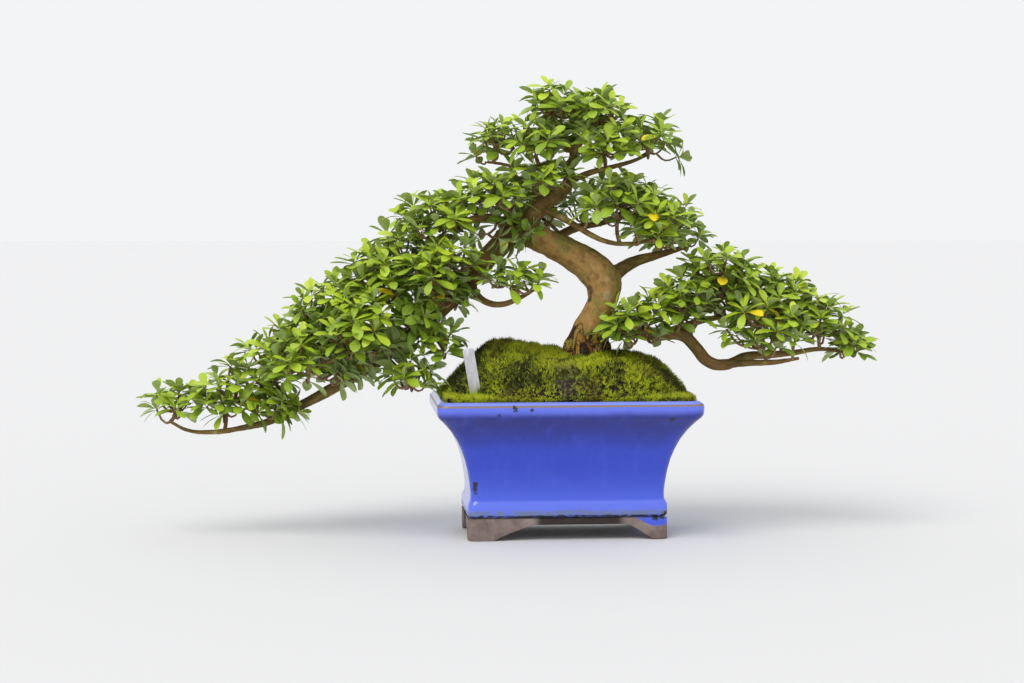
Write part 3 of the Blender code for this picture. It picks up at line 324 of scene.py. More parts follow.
def glazeLook():
    look = Look("blueGlaze", {"Coat Roughness": 0.08})
    place = look.coords()
    height = look.axis(place, "Z")
    across = look.axis(place, "X")
    cloud = look.noise(place, 14, 4)
    fine = look.noise(place, 160, 5, 0.6)
    runs = look.noise(look.stretched(place, (1, 1, 0.12)), 90, 4)
    wander = (look.noise(place, 60, 4) - 0.5) * 0.006
    # painted shade: the body is deep in the shade under the rim and lighter towards the ledge
    look.colour = look.ramp(
        look.step(height + (cloud - 0.5) * 0.022, 0.036, 0.124),
        [(0.0, glaze["light"]), (0.32, glaze["body"]), (0.66, glaze["body"]), (1.0, glaze["deep"])],
    )
    look.paint(look.step(runs, 0.45, 0.75) * 0.22, glaze["light"])
    # painted light: the ledge and the band just under the rim are painted lighter where light from above
    # falls on them
    ledge = look.band(height + wander * 0.3, glaze["ledgeMiddle"], 0.0068, 0.003)
    look.paint(ledge * 0.85, glaze["litGlaze"])
    look.paint(look.step(height + wander * 0.6, 0.1225, 0.1310) * 0.9, glaze["litGlaze"])
    # painted reflection: the rim's rounded top is painted pale where it faces the sky
    look.paint(look.step(height, 0.1352, 0.1366), glaze["rimTop"])
    # glaze breaks to clay along the rim's edge
    line = look.band(height + wander * 0.10, glaze["rimLine"], 0.00075, 0.0005)
    look.paint(line * look.step(fine + cloud * 0.3, 0.28, 0.48), glaze["edge"])
    grime = look.band(height + wander * 0.7, 0.0252, 0.0022, 0.0040)
    grime = grime * look.step(fine + cloud * 0.4, 0.48, 0.82)
    look.paint(grime * 0.8, glaze["grime"])
    # small black marks where the glaze crawled
    left, right, front = potLow.x, potHigh.x, potLow.y
    spots = [(left + x, front + y, z, reach) for x, y, z, reach in map(metres, glaze["marksLeft"])]
    spots += [(right - x, front + y, z, reach) for x, y, z, reach in map(metres, glaze["marksRight"])]
    marks = look.spots(look.jostled(place, look.noise(place, 260, 3, 0.6), 0.008), spots)
    look.paint(marks, glaze["black"])
    clayTop = glaze["clayTop"]
    seam = look.band(height + wander, clayTop + 0.0014, 0.0005, 0.0012)
    # bare clay on the feet and underneath. The right front foot keeps more glaze
    runDown = look.step(across, right - 0.068, right - 0.046) * 0.0085
    bare = 1 - look.step(height + wander * 0.5 + runDown, clayTop - 0.0004, clayTop + 0.0004)
    look.paint(seam * 0.85 * look.step(fine, 0.38, 0.52), glaze["black"])
    clay = look.mix(look.step(look.noise(place, 45, 6, 0.65), 0.35, 0.68), glaze["clay"], glaze["clayPale"])
    clay = look.mix(look.step(look.noise(place, 420, 3), 0.58, 0.72) * 0.5, clay, (0.05, 0.04, 0.04))
    # painted shade: the apron between the feet, recessed under the ledge, is painted dark, and painted
    # highlights make the pot's end walls paler
    fromX, fromY = abs(across - potMiddle.x), abs(look.axis(place, "Y") - potMiddle.y)
    endWall = look.step(fromX - fromY, pot["depthLess"] + 0.001, pot["depthLess"] + 0.003)
    frontApron = look.band(across + wander * 0.8, potMiddle.x + 0.011, 0.037, 0.010)
    sideApron = look.band(fromY, 0.0, 0.014, 0.006)
    apron = (1 - endWall) * frontApron + endWall * sideApron
    clay = look.mix(apron * 0.92, clay, glaze["apronShade"])
    # painted highlight: paler patches on the end walls, where the glaze catches the light
    endHighlight = endWall * look.step(look.noise(place, 48, 4, 0.6) + (cloud - 0.5) * 0.4, 0.40, 0.72)
    look.paint(endHighlight * 0.26, glaze["endWallHighlight"])
    look.feed("Base Color", look.mix(bare, look.colour, clay))
    rough = bare * 0.62 + grime * 0.35 + line * 0.3 + marks * 0.3 + 0.16
    look.feed("Roughness", rough + look.step(cloud, 0.3, 0.8) * 0.08)
    look.feed("Coat Weight", (1 - bare) * 0.3)
    swell = look.noise(place, 26, 2) + fine * 0.06 + bare * look.noise(place, 300, 5, 0.7) * 1.2
    look.feed("Normal", look.bump(swell, 0.35, 0.0012))
    return look.material


def cornerRadius(height):
    share = min(max(height / pot["rimTop"], 0), 1)
    return pot["cornerBase"] + (pot["cornerRim"] - pot["cornerBase"]) * share


def rounded(bm, geom, offset, kind="EDGES", segments=2):
    bmesh.ops.bevel(
        bm, geom=geom, offset=offset, affect=kind, segments=segments, profile=0.5, material=-1
    )


def startRing(bm, half, radius, height, cuts):
    # a rectangle whose corners are rounded and whose sides are divided
    halfY = half - pot["depthLess"]
    made = bmesh.ops.create_grid(bm, x_segments=1, y_segments=1, size=1)
    bmesh.ops.scale(bm, verts=made["verts"], vec=(half, halfY, 1))
    bmesh.ops.translate(bm, verts=made["verts"], vec=(0, 0, height))
    rounded(bm, made["verts"], radius, "VERTICES", pot["cornerSteps"])
    sides = [edge for edge in bm.edges if edge.calc_length() > radius * 2]
    bmesh.ops.subdivide_edges(bm, edges=sides, cuts=cuts)
    bmesh.ops.delete(bm, geom=list(bm.faces), context="FACES_ONLY")
    return list(bm.edges)


def toRing(verts, old, new):
    # from one ring (half, radius) to the next (half, radius, height): corners keep their arc
    for vert in verts:
        for axis, less in ((0, 0), (1, pot["depthLess"])):
            start, end = old[0] - less - old[1], new[0] - less - new[1]
            along = abs(vert.co[axis])
            sign = math.copysign(1, vert.co[axis])
            if along > start:
                vert.co[axis] = sign * (end + (along - start) * new[1] / old[1])
            else:
                vert.co[axis] = sign * along * end / start
        vert.co.z = new[2]


def footHeight(x, y):
    alongFront = pot["footHalf"] - abs(x)
    alongSide = pot["footHalf"] - pot["depthLess"] - abs(y)
    near = pot["footThick"] + pot["footMargin"]
    if alongSide <= near and alongFront > near:
        along = alongFront / (pot["footRightShare"] if x > 0 else 1)
    elif alongFront <= near and alongSide > near:
        along = alongSide / pot["footSideShare"]
    else:
        along = 0
    places, heights = zip(*map(metres, pot["footCurve"]))
    # a few samples round the place soften the curve's corners
    soft = pot["footSoft"]
    return float(np.mean(np.interp([along - soft, along, along + soft], places, heights)))


def makePot(material):
    bm = bmesh.new()
    rows = [metres(row) for row in pot["outside"] + pot["inside"]]
    old = (rows[0][1], cornerRadius(rows[0][0]))
    ring = startRing(bm, *old, rows[0][0], pot["sideCuts"])
    first = ring
    for height, half in rows[1:]:
        made = bmesh.ops.extrude_edge_only(bm, edges=ring)
        new = (half, cornerRadius(height), height)
        toRing(movedVerts(made), old, new)
        old, ring = new[:2], movedEdges(made)
    bmesh.ops.edgeloop_fill(bm, edges=ring)
    bmesh.ops.edgeloop_fill(bm, edges=first)
    bmesh.ops.recalc_face_normals(bm, faces=bm.faces)
    body = pieceFrom(bm, "potBody", [material])
    # the drain holes go through the floor, over their screens
    cutter = bmesh.new()
    radius, (low, high) = pot["drainRadius"], pot["drainDeep"]
    for side in (-1, 1):
        made = bmesh.ops.create_cone(
            cutter, cap_ends=True, segments=32, radius1=radius, radius2=radius, depth=high - low
        )
        bmesh.ops.translate(cutter, verts=made["verts"], vec=(side * pot["drainAside"], 0, (low + high) / 2))
    drill = pieceFrom(cutter, "drill", [material])
    carve = body.modifiers.new("drain", "BOOLEAN")
    carve.operation = "DIFFERENCE"
    carve.object = drill
    skin = settled(body)
    bpy.data.objects.remove(body)
    bpy.data.objects.remove(drill)

    # a skirt under the ledge, cut away into four feet
    feet = bmesh.new()
    outer = (pot["footHalf"], cornerRadius(0))
    inner = (pot["footHalf"] - pot["footThick"], pot["footInner"])
    top = startRing(feet, *outer, pot["footTop"], pot["footCuts"])
    rings = [top]
    for start, end, down in ((outer, outer, True), (outer, inner, True), (inner, inner, False)):
        made = bmesh.ops.extrude_edge_only(feet, edges=rings[-1])
        verts = movedVerts(made)
        toRing(verts, start, (*end, pot["footTop"]))
        for vert in verts:
            if down:
                vert.co.z = footHeight(vert.co.x, vert.co.y)
        rings.append(movedEdges(made))
    bmesh.ops.bridge_loops(feet, edges=rings[0] + rings[-1])
    rounded(feet, rings[1] + rings[2], pot["footRound"])
    bmesh.ops.recalc_face_normals(feet, faces=feet.faces)
    feet.from_mesh(skin)
    piece = pieceFrom(feet, "potGlazed", [material], potMiddle, 35)
    fit(piece, "glaze", "pot")


makePot(glazeLook())
print("pot made")


# moss mound: the same rise and lumps as the solid, then finer ones
mound = {
    "reach": 0.1212,
    "edge": 0.1330,
    "step": 0.0085,
    "rise": 0.0390,
    "power": 4.2,
    "lumps": [
        (-0.066, 0.004, 0.0140, 0.020),
        (-0.022, 0.010, 0.0060, 0.018),
        (0.060, -0.012, 0.0030, 0.022),
        (0.100, 0.006, 0.0040, 0.018),
        (-0.012, -0.040, -0.0050, 0.022),
        (0.026, 0.000, -0.0030, 0.030),
    ],
    "thick": 0.0054,
    "inset": 0.0012,
    "rings": 44,
    "sideCuts": 32,
    "trunkX": 0.025,
    "trunkHole": 0.0285,
    "tufts": 10500,
    "tuftSize": (0.0034, 0.0070),
    "tuftKinds": 8,
    "tuftInset": 0.0010,
    "edgeTufts": 3000,
    "tuftSpikes": 5,
    "ripple": 0.0015,
    "barePatch": (-0.004, -0.062, 0.012),
    # painted shade: x, y, spread and depth of each dark patch
    "shadePatches": [
        (-0.080, -0.016, 0.020, 0.60),
        (0.104, -0.034, 0.018, 0.60),
        (0.060, -0.010, 0.016, 0.40),
        (-0.034, -0.040, 0.012, 0.35),
        (0.074, -0.056, 0.010, 0.40),
    ],
    "seed": 11,
}
moss = {
    "bright": (0.520, 0.600, 0.016),
    "middle": (0.270, 0.330, 0.010),
    "dark": (0.070, 0.080, 0.008),
    "black": (0.012, 0.012, 0.004),
    "brown": (0.150, 0.090, 0.022),
    "olive": (0.300, 0.260, 0.022),
    "ash": (0.135, 0.125, 0.115),
    "red": (0.300, 0.030, 0.016),
}


def moundHeight(x, y):
    reachY = mound["reach"] - pot["depthLess"]
    reach = ((abs(x) / mound["reach"]) ** 3 + (abs(y) / reachY) ** 3) ** (1 / 3)
    height = mound["edge"] + mound["step"] + mound["rise"] * max(0, 1 - reach ** mound["power"])
    inside = max(0, 1 - reach**6)
    for lumpX, lumpY, rise, spread in mound["lumps"]:
        away = ((x - lumpX) ** 2 + (y - lumpY) ** 2) / (2 * spread**2)
        height += rise * math.exp(-away) * inside
    ripple = noise.noise(Vector((x, y, 0.3)) * 70) * 2.2 + noise.noise(Vector((x, y, 0.7)) * 170) * 1.4
    return height + mound["ripple"] * ripple * inside


def mossShade(x, y):
    # 0 dark, 1 bright, with the patches that the photograph shows: the dark patches are painted shade under
    # the lumps and on the right side
    patch = noise.noise(Vector((x, y, 2.0)) * 26) * 0.9 + noise.noise(Vector((x, y, 5.0)) * 70) * 0.55
    shade = 0.74 + patch * 0.75
    for placeX, placeY, spread, depth in mound["shadePatches"]:
        shade -= depth * math.exp(-((x - placeX) ** 2 + (y - placeY) ** 2) / (2 * spread**2))
    return min(max(shade, 0), 1)


def bareShare(x, y):
    placeX, placeY, spread = mound["barePatch"]
    away = math.hypot(x - placeX, (y - placeY) * 0.8)
    return math.exp(-((away / spread) ** 2))


def carpetLook():
    look = Look("mossCarpet", {"Roughness": 0.95, "Specular IOR Level": 0.2})
    place = look.coords()
    shade = look.attribute("mossTone", "Color")
    tone = look.axis(shade, "X")
    bare = look.axis(shade, "Y")
    speck = look.noise(place, 500, 3, 0.7)
    look.colour = look.ramp(
        look.step(tone * 0.6 + speck * 0.5, 0.20, 1.05),
        [(0.0, moss["black"]), (0.40, moss["dark"]), (1.0, moss["middle"])],
    )
    brown = look.step(look.noise(place, 32, 4), 0.55, 0.72)
    look.paint(brown * 0.4, moss["brown"])
    ash = look.mix(look.step(speck, 0.3, 0.7), (0.020, 0.020, 0.018), moss["ash"])
    look.feed("Base Color", look.mix(bare, look.colour, ash))
    look.feed("Normal", look.bump(speck + look.noise(place, 260, 4) * 1.5, 0.9, 0.0016))
    return look.material


def tuftLook():
    look = Look("mossTufts", {"Roughness": 0.75, "Specular IOR Level": 0.25})
    place = look.coords()
    shade = look.attribute("mossTone", "Color")
    tone = look.axis(shade, "X")
    bare = look.axis(shade, "Y")
    tip = look.axis(shade, "Z")
    look.colour = look.ramp(
        look.step(tone + (look.noise(place, 420, 2) - 0.5) * 0.5, 0.0, 1.0),
        [(0.0, moss["black"]), (0.22, moss["dark"]), (0.50, moss["middle"]), (0.95, moss["bright"])],
    )
    look.paint(look.step(look.noise(place, 30, 4), 0.50, 0.66) * 0.35, moss["olive"])
    look.paint(look.step(look.noise(place, 41, 3), 0.60, 0.74) * 0.5, moss["brown"])
    look.paint(look.step(look.noise(place, 300, 2), 0.735, 0.76), moss["red"])
    look.paint(bare, moss["ash"])
    # painted shade: each tuft darkens towards its root, down among the others
    look.feed("Base Color", look.mix((1 - tip) * 0.55, look.colour, moss["dark"]))
    return look.material


# copies of small shapes in one mesh, each with its own matrix and tone
class Scatter:
    def __init__(self):
        self.points, self.faces, self.tones, self.charts = [], [], [], []
        self.count = 0

    def stamp(self, shape, matrix, tone):
        # shape is (points, faces, tones of their corners, charts of their corners)
        points, faces, own, charts = shape
        turn = np.array(matrix.to_3x3())
        self.points.append(points @ turn.T + np.array(matrix.translation))
        self.faces.append(faces + self.count)
        colours = np.ones((len(own), 4))
        colours[:, :3] = own
        for channel, value in tone.items():
            colours[:, channel] = value
        self.tones.append(colours)
        self.charts.append(charts)
        self.count += len(points)

    def piece(self, name, attribute, materials):
        points, faces = np.concatenate(self.points), np.concatenate(self.faces)
        mesh = bpy.data.meshes.new(name)
        mesh.from_pydata(points.tolist(), [], faces.tolist())
        tones = mesh.color_attributes.new(attribute, "FLOAT_COLOR", "CORNER")
        tones.data.foreach_set("color", np.concatenate(self.tones).astype(np.float32).ravel())
        chart = mesh.uv_layers.new(name="chart")
        chart.data.foreach_set("uv", np.concatenate(self.charts).astype(np.float32).ravel())
        mesh.shade_smooth()
        return linkMesh(mesh, name, materials)


def shapeOf(bm, toneOf, chartOf):
    # a bmesh as stampable arrays of triangles
    bmesh.ops.triangulate(bm, faces=bm.faces)
    bmesh.ops.recalc_face_normals(bm, faces=bm.faces)
    bm.verts.ensure_lookup_table()
    bm.verts.index_update()
    points = np.array([vert.co[:] for vert in bm.verts])
    faces = np.array([[vert.index for vert in face.verts] for face in bm.faces])
    tones = np.array([toneOf(vert, face) for face in bm.faces for vert in face.verts])
    charts = np.array([chartOf(vert) for face in bm.faces for vert in face.verts])
    bm.free()
    return points, faces, tones, charts


def tuftShape(rng):
    # a few bent spikes from one root, about one unit tall
    bm = bmesh.new()
    for turn in range(mound["tuftSpikes"]):
        made = bmesh.ops.create_cone(bm, cap_ends=False, segments=3, radius1=0.13, radius2=0, depth=1)
        bmesh.ops.remove_doubles(bm, verts=made["verts"], dist=0.001)
        verts = [vert for vert in made["verts"] if vert.is_valid]
        bmesh.ops.translate(bm, verts=verts, vec=(0, 0, 0.44))
        lean = Matrix.Rotation(math.radians(rng.uniform(10, 62)), 3, "X")
        spin = Matrix.Rotation(math.tau / mound["tuftSpikes"] * turn + rng.uniform(-0.5, 0.5), 3, "Z")
        grow = Matrix.Scale(rng.uniform(0.7, 1.1), 4)
        bmesh.ops.transform(bm, matrix=(spin @ lean).to_4x4() @ grow, verts=verts)
    # the third tone rises from root to tip
    return shapeOf(bm, lambda vert, face: (0.5, 0, min(max(vert.co.z * 1.5, 0), 1)), lambda vert: (0, 0))


def insideRim(x, y, margin):
    halfX = mound["reach"] - margin
    halfY = halfX - pot["depthLess"]
    radius = pot["cornerRim"]
    overX, overY = max(abs(x) - halfX + radius, 0), max(abs(y) - halfY + radius, 0)
    return abs(x) < halfX and abs(y) < halfY and math.hypot(overX, overY) < radius


def makeMoss():
    rng = random.Random(mound["seed"])
    bm = bmesh.new()
    tones = bm.verts.layers.float_color.new("mossTone")
    half = mound["reach"] - mound["inset"]
    ring = startRing(bm, half, pot["cornerRim"] - mound["inset"], 0, mound["sideCuts"])
    outline = {vert: vert.co.copy() for vert in bm.verts}
    hub = Vector((mound["trunkX"], 0, 0))
    for number in range(1, mound["rings"] + 1):
        share = (number / mound["rings"]) ** 1.05
        made = bmesh.ops.extrude_edge_only(bm, edges=ring)
        for vert in movedVerts(made):
            near = (edge.other_vert(vert) for edge in vert.link_edges)
            start = next(outline[other] for other in near if other in outline)
            inner = hub + (start - hub).normalized() * mound["trunkHole"]
            vert.co = start.lerp(inner, share)
            outline[vert] = start
        ring = movedEdges(made)
    for vert in bm.verts:
        x, y = vert.co.x, vert.co.y
        vert.co.z = moundHeight(x, y)
        edgeShade = 0 if insideRim(x, y, 0.0030) else 0.55
        vert[tones] = (max(mossShade(x, y) - edgeShade, 0), bareShare(x, y), 1, 1)
    bmesh.ops.recalc_face_normals(bm, faces=bm.faces)
    if sum(face.normal.z for face in bm.faces) < 0:
        bmesh.ops.reverse_faces(bm, faces=bm.faces)
    bmesh.ops.solidify(bm, geom=list(bm.faces), thickness=mound["thick"])
    # its sides stay upright, inside the rim
    for vert in bm.verts:
        for axis, most in ((0, half), (1, half - pot["depthLess"])):
            vert.co[axis] = min(max(vert.co[axis], -most), most)
    bmesh.ops.recalc_face_normals(bm, faces=bm.faces)
    fit(pieceFrom(bm, "mossCarpet", [carpetLook()], potMiddle, 180), "moss", "moss")

    shapes = [tuftShape(rng) for _ in range(mound["tuftKinds"])]
    groups = {"mossTuftsLeft": Scatter(), "mossTuftsRight": Scatter()}
    up = Vector((0, 0, 1))

    def plant(x, y, height, upward, size, shadeShift):
        bare = bareShare(x, y)
        if rng.random() < bare * 0.8:
            return False
        turn = up.rotation_difference(upward).to_matrix().to_4x4()
        spin = Matrix.Rotation(rng.uniform(0, 6.3), 4, "Z")
        grow = Matrix.Scale(size * rng.uniform(*mound["tuftSize"]) * (1 - 0.4 * bare), 4)
        tone = {0: mossShade(x, y) + shadeShift + rng.uniform(-0.35, 0.30), 1: bare * rng.uniform(0.4, 1)}
        group = groups["mossTuftsLeft" if x < 0 else "mossTuftsRight"]
        place = Matrix.Translation(potMiddle + Vector((x, y, height)))
        group.stamp(rng.choice(shapes), place @ turn @ spin @ grow, tone)
        return True

    placed = 0
    reachX, reachY = mound["reach"], mound["reach"] - pot["depthLess"]
    while placed < mound["tufts"]:
        x, y = rng.uniform(-reachX, reachX), rng.uniform(-reachY, reachY)
        if not insideRim(x, y, 0.0012) or math.hypot(x - mound["trunkX"], y) < mound["trunkHole"] - 0.004:
            continue
        height = moundHeight(x, y)
        slope = Vector((height - moundHeight(x + 0.003, y), height - moundHeight(x, y + 0.003), 0.0045))
        placed += plant(x, y, height - 0.0006, slope.normalized(), 1, 0)
    # along the rim tufts lean outwards and hide the carpet's edge
    inset, corner = mound["tuftInset"], pot["cornerRim"] * 0.4
    for _ in range(mound["edgeTufts"]):
        ends = rng.random() < reachY / (reachX + reachY)
        side = rng.choice((-1, 1))
        if ends:
            x, y = side * (reachX - inset), rng.uniform(corner - reachY, reachY - corner)
            outward = Vector((side, 0, 0))
        else:
            x, y = rng.uniform(corner - reachX, reachX - corner), side * (reachY - inset)
            outward = Vector((0, side, 0))
        lean = (outward * rng.uniform(0.4, 1.9) + up * 0.8).normalized()
        sunk = rng.uniform(0.0004, 0.0050)
        # painted shade: tufts sunk deeper at the rim's edge are darker
        plant(x, y, moundHeight(x, y) - sunk, lean, rng.uniform(0.5, 0.78), 0.02 - sunk * 60)
    material = tuftLook()
    for name, group in groups.items():
        fit(group.piece(name, "mossTone", [material]), "moss")


makeMoss()
print("moss made")


# wood: the same routes as the solid tree, from each limb's root to its tip: x, y, z, radius in millimetres
limbs = {
    "trunk": [
        (18, 0, 118, 12), (18, 0, 150, 19.5), (18, 0, 176, 25), (18, 0, 192, 23.8), (19, -2, 206, 19.8),
        (23, -4, 221, 16.5), (29, -5, 235, 14.8), (33, -4, 248, 16), (33, -2, 262, 18.2),
        (23, 1, 275, 17.6), (7, 4, 286, 16), (-9, 6, 295, 14.6), (-26, 6, 303, 13.4),
        (-43, 4, 309, 12.8), (-59, 0, 308, 12), (-75, -3, 294, 10.8), (-96, -4, 270, 9.8),
        (-121, -1, 243, 8.8), (-147, 5, 218, 7.8), (-177, 10, 194, 7), (-208, 10, 172, 6.3),
        (-239, 4, 155, 5.7), (-268, -3, 140, 4.8), (-296, -7, 126, 3.9), (-328, -6, 118, 3.1),
        (-359, -2, 114, 2.6), (-381, 2, 116, 2.2), (-397, 4, 124, 1.9),
    ],
    "leader": [
        (-44, 4, 309, 10.5), (-37, 5, 328, 9.8), (-24, 6, 341, 8.4), (-9, 4, 351, 7), (-1, 1, 363, 6),
        (-1, -1, 376, 5), (3, -1, 388, 4), (-6, 1, 404, 3.2), (-13, 4, 420, 2.6), (-17, 2, 434, 1.9),
    ],
    "crownLeft": [
        (-1, 0, 378, 3.1), (-16, -6, 381, 2.9), (-32, -10, 377, 2.8), (-50, -9, 375, 2.4),
        (-69, -4, 379, 1.9), (-84, 0, 381, 1.7),
    ],
    "crownRight": [
        (-2, 2, 361, 3.6), (18, -3, 370, 3.3), (41, -6, 376, 2.8), (62, -4, 382, 2.3), (79, 2, 389, 1.7),
    ],
    "crownBack": [(-1, 0, 370, 3.8), (4, 20, 377, 3.3), (12, 40, 384, 2.4), (10, 56, 392, 1.8)],
    "crownFork": [(2, -1, 386, 3), (11, -10, 402, 2.6), (20, -14, 419, 2)],
    "middleFront": [
        (-30, 3, 334, 3.8), (-15, -14, 328, 3.6), (1, -24, 319, 3.3), (17, -30, 309, 3),
        (33, -34, 302, 2.7), (57, -36, 300, 2.3), (78, -36, 304, 1.7),
    ],
    "middleRight": [
        (36, 0, 262, 9), (52, 5, 274, 7.2), (68, 10, 282, 5.8), (86, 12, 287, 4.6), (104, 10, 292, 3.4),
        (122, 6, 298, 2.2),
    ],
    "middleBack": [
        (-18, 6, 298, 6.2), (-6, 28, 308, 5.2), (14, 46, 316, 4.2), (38, 56, 320, 3.2),
        (62, 58, 326, 2.2),
    ],
    "middleLeft": [
        (-58, 1, 309, 7), (-70, -8, 322, 5.2), (-88, -16, 326, 4), (-108, -20, 322, 3),
        (-128, -18, 318, 2),
    ],
    "underLeft": [
        (-100, -4, 268, 4.9), (-96, -18, 252, 3.9), (-84, -30, 242, 3.6), (-70, -36, 241, 3.1),
        (-54, -36, 247, 2.6), (-40, -32, 254, 1.9),
    ],
    "tailBackHigh": [
        (-104, -2, 261, 5.6), (-126, 20, 262, 4.6), (-152, 38, 258, 3.6), (-180, 46, 250, 2.6),
    ],
    "tailFront": [
        (-158, 6, 209, 5), (-180, -16, 208, 4.2), (-206, -30, 202, 3.4), (-232, -36, 190, 2.6),
        (-254, -34, 178, 2),
    ],
    "tailBackLow": [
        (-200, 10, 178, 4.4), (-222, 28, 180, 3.6), (-248, 40, 174, 2.8), (-272, 42, 164, 2),
    ],
    "right": [
        (24, -2, 226, 9.5), (42, -4, 219, 8.2), (62, -6, 213, 7.4), (88, -6, 209, 6.8),
        (113, -4, 208, 6.4), (127, -4, 195, 6.2), (140, -6, 181, 6.2), (157, -6, 178, 5.6),
        (178, -2, 186, 4.7), (203, 4, 187, 3.9), (229, 6, 189, 3.2), (255, 2, 193, 2.6),
        (275, -2, 191, 2),
    ],
    "rightFront": [(158, -8, 178, 4), (176, -24, 181, 3.6), (200, -32, 182, 3), (226, -34, 186, 2)],
    "rightBack": [(100, -4, 209, 4.8), (120, 18, 216, 4.2), (146, 36, 222, 3.4), (174, 46, 224, 2.4)],
    "rightUpper": [(116, -4, 206, 4.4), (130, -6, 226, 3.8), (146, -4, 242, 3), (164, 0, 252, 2.2)],
}
wood = {
    "voxel": 0.00125,
    "smoothings": 3,
    "lump": 0.00100,
    "grain": 0.00034,
    "flutes": 5,
    "fluteDepth": 0.10,
    "fluteTop": 0.225,
    "fluteFade": 0.045,
    "flakyTop": 0.2035,
    "flakyLean": 0.42,
    "spotShift": (0.003, -0.017, 0.003),
    # spots: painted shade in the hollow and the crack, a painted highlight on the pale patch
    "hollow": [(22, 8, 242.5, 7.5), (23, 8, 236, 5.5)],
    "crack": [(21, 0, 271.5, 4)],
    "highlightPatch": [(43, 0, 238.5, 6.5)],
}
bark = {
    "tan": (0.380, 0.220, 0.070),
    "pale": (0.430, 0.325, 0.190),
    "brown": (0.150, 0.085, 0.030),
    "umber": (0.085, 0.050, 0.020),
    "dark": (0.022, 0.014, 0.007),
    "orange": (0.430, 0.200, 0.032),
    "rust": (0.190, 0.062, 0.018),
    "yellow": (0.330, 0.265, 0.050),
    "olive": (0.215, 0.185, 0.044),
}


def curveMesh(routes, steps, sides, name):
    # tubes along smooth routes of (point, radius)
    curve = bpy.data.curves.new(name, "CURVE")
    curve.dimensions = "3D"
    curve.bevel_depth = 1
    curve.bevel_resolution = sides
    curve.use_fill_caps = True
    for route in routes:
        spline = curve.splines.new("BEZIER")
        spline.bezier_points.add(len(route) - 1)
        spline.resolution_u = steps
        spline.radius_interpolation = "CARDINAL"
        for knot, (place, radius) in zip(spline.bezier_points, route):
            knot.co = place
            knot.radius = radius
            knot.handle_left_type = knot.handle_right_type = "AUTO"
    holder = bpy.data.objects.new(name, curve)
    bpy.context.scene.collection.objects.link(holder)
    mesh = settled(holder)
    bpy.data.objects.remove(holder)
    return mesh


def limbRoute(name):
    return [(Vector(row[:3]) + treeShift, row[3]) for row in map(metres, limbs[name])]


def grainOf(points):
    # for each point: its place round the nearest limb, in metres, and along it, and that limb's radius
    starts, ends, sizes, lengths, sidesA, sidesB = [], [], [], [], [], []
    travelled = 0
    for name in limbs:
        route = limbRoute(name)
        side = (route[1][0] - route[0][0]).orthogonal().normalized()
        before = (route[1][0] - route[0][0]).normalized()
        for (low, thick), (high, thin) in zip(route, route[1:]):
            ahead = (high - low).normalized()
            side = before.rotation_difference(ahead) @ side
            side = (side - ahead * side.dot(ahead)).normalized()
            starts.append(low), ends.append(high), sizes.append((thick, thin))
            lengths.append((travelled, travelled + (high - low).length))
            sidesA.append(side), sidesB.append(ahead.cross(side))
            travelled += (high - low).length
            before = ahead
        travelled += 1
    starts, ends, sizes, lengths = map(np.array, (starts, ends, sizes, lengths))
    sidesA, sidesB = np.array(sidesA), np.array(sidesB)
    spans = ends - starts
    found = []
    for chunk in np.array_split(points, max(1, len(points) // 6000)):
        away = chunk[:, None, :] - starts
        share = np.clip((away * spans).sum(2) / (spans * spans).sum(1), 0, 1)
        offset = away - share[:, :, None] * spans
        radius = sizes[:, 0] + (sizes[:, 1] - sizes[:, 0]) * share
        pick = (np.linalg.norm(offset, axis=2) / radius).argmin(1)
        row = np.arange(len(chunk))
        near = offset[row, pick]
        first, second = (near * sidesA[pick]).sum(1), (near * sidesB[pick]).sum(1)
        along = lengths[pick, 0] + share[row, pick] * (lengths[pick, 1] - lengths[pick, 0])
        found.append(np.stack([first, second, along, radius[row, pick]], 1))
    return np.concatenate(found)


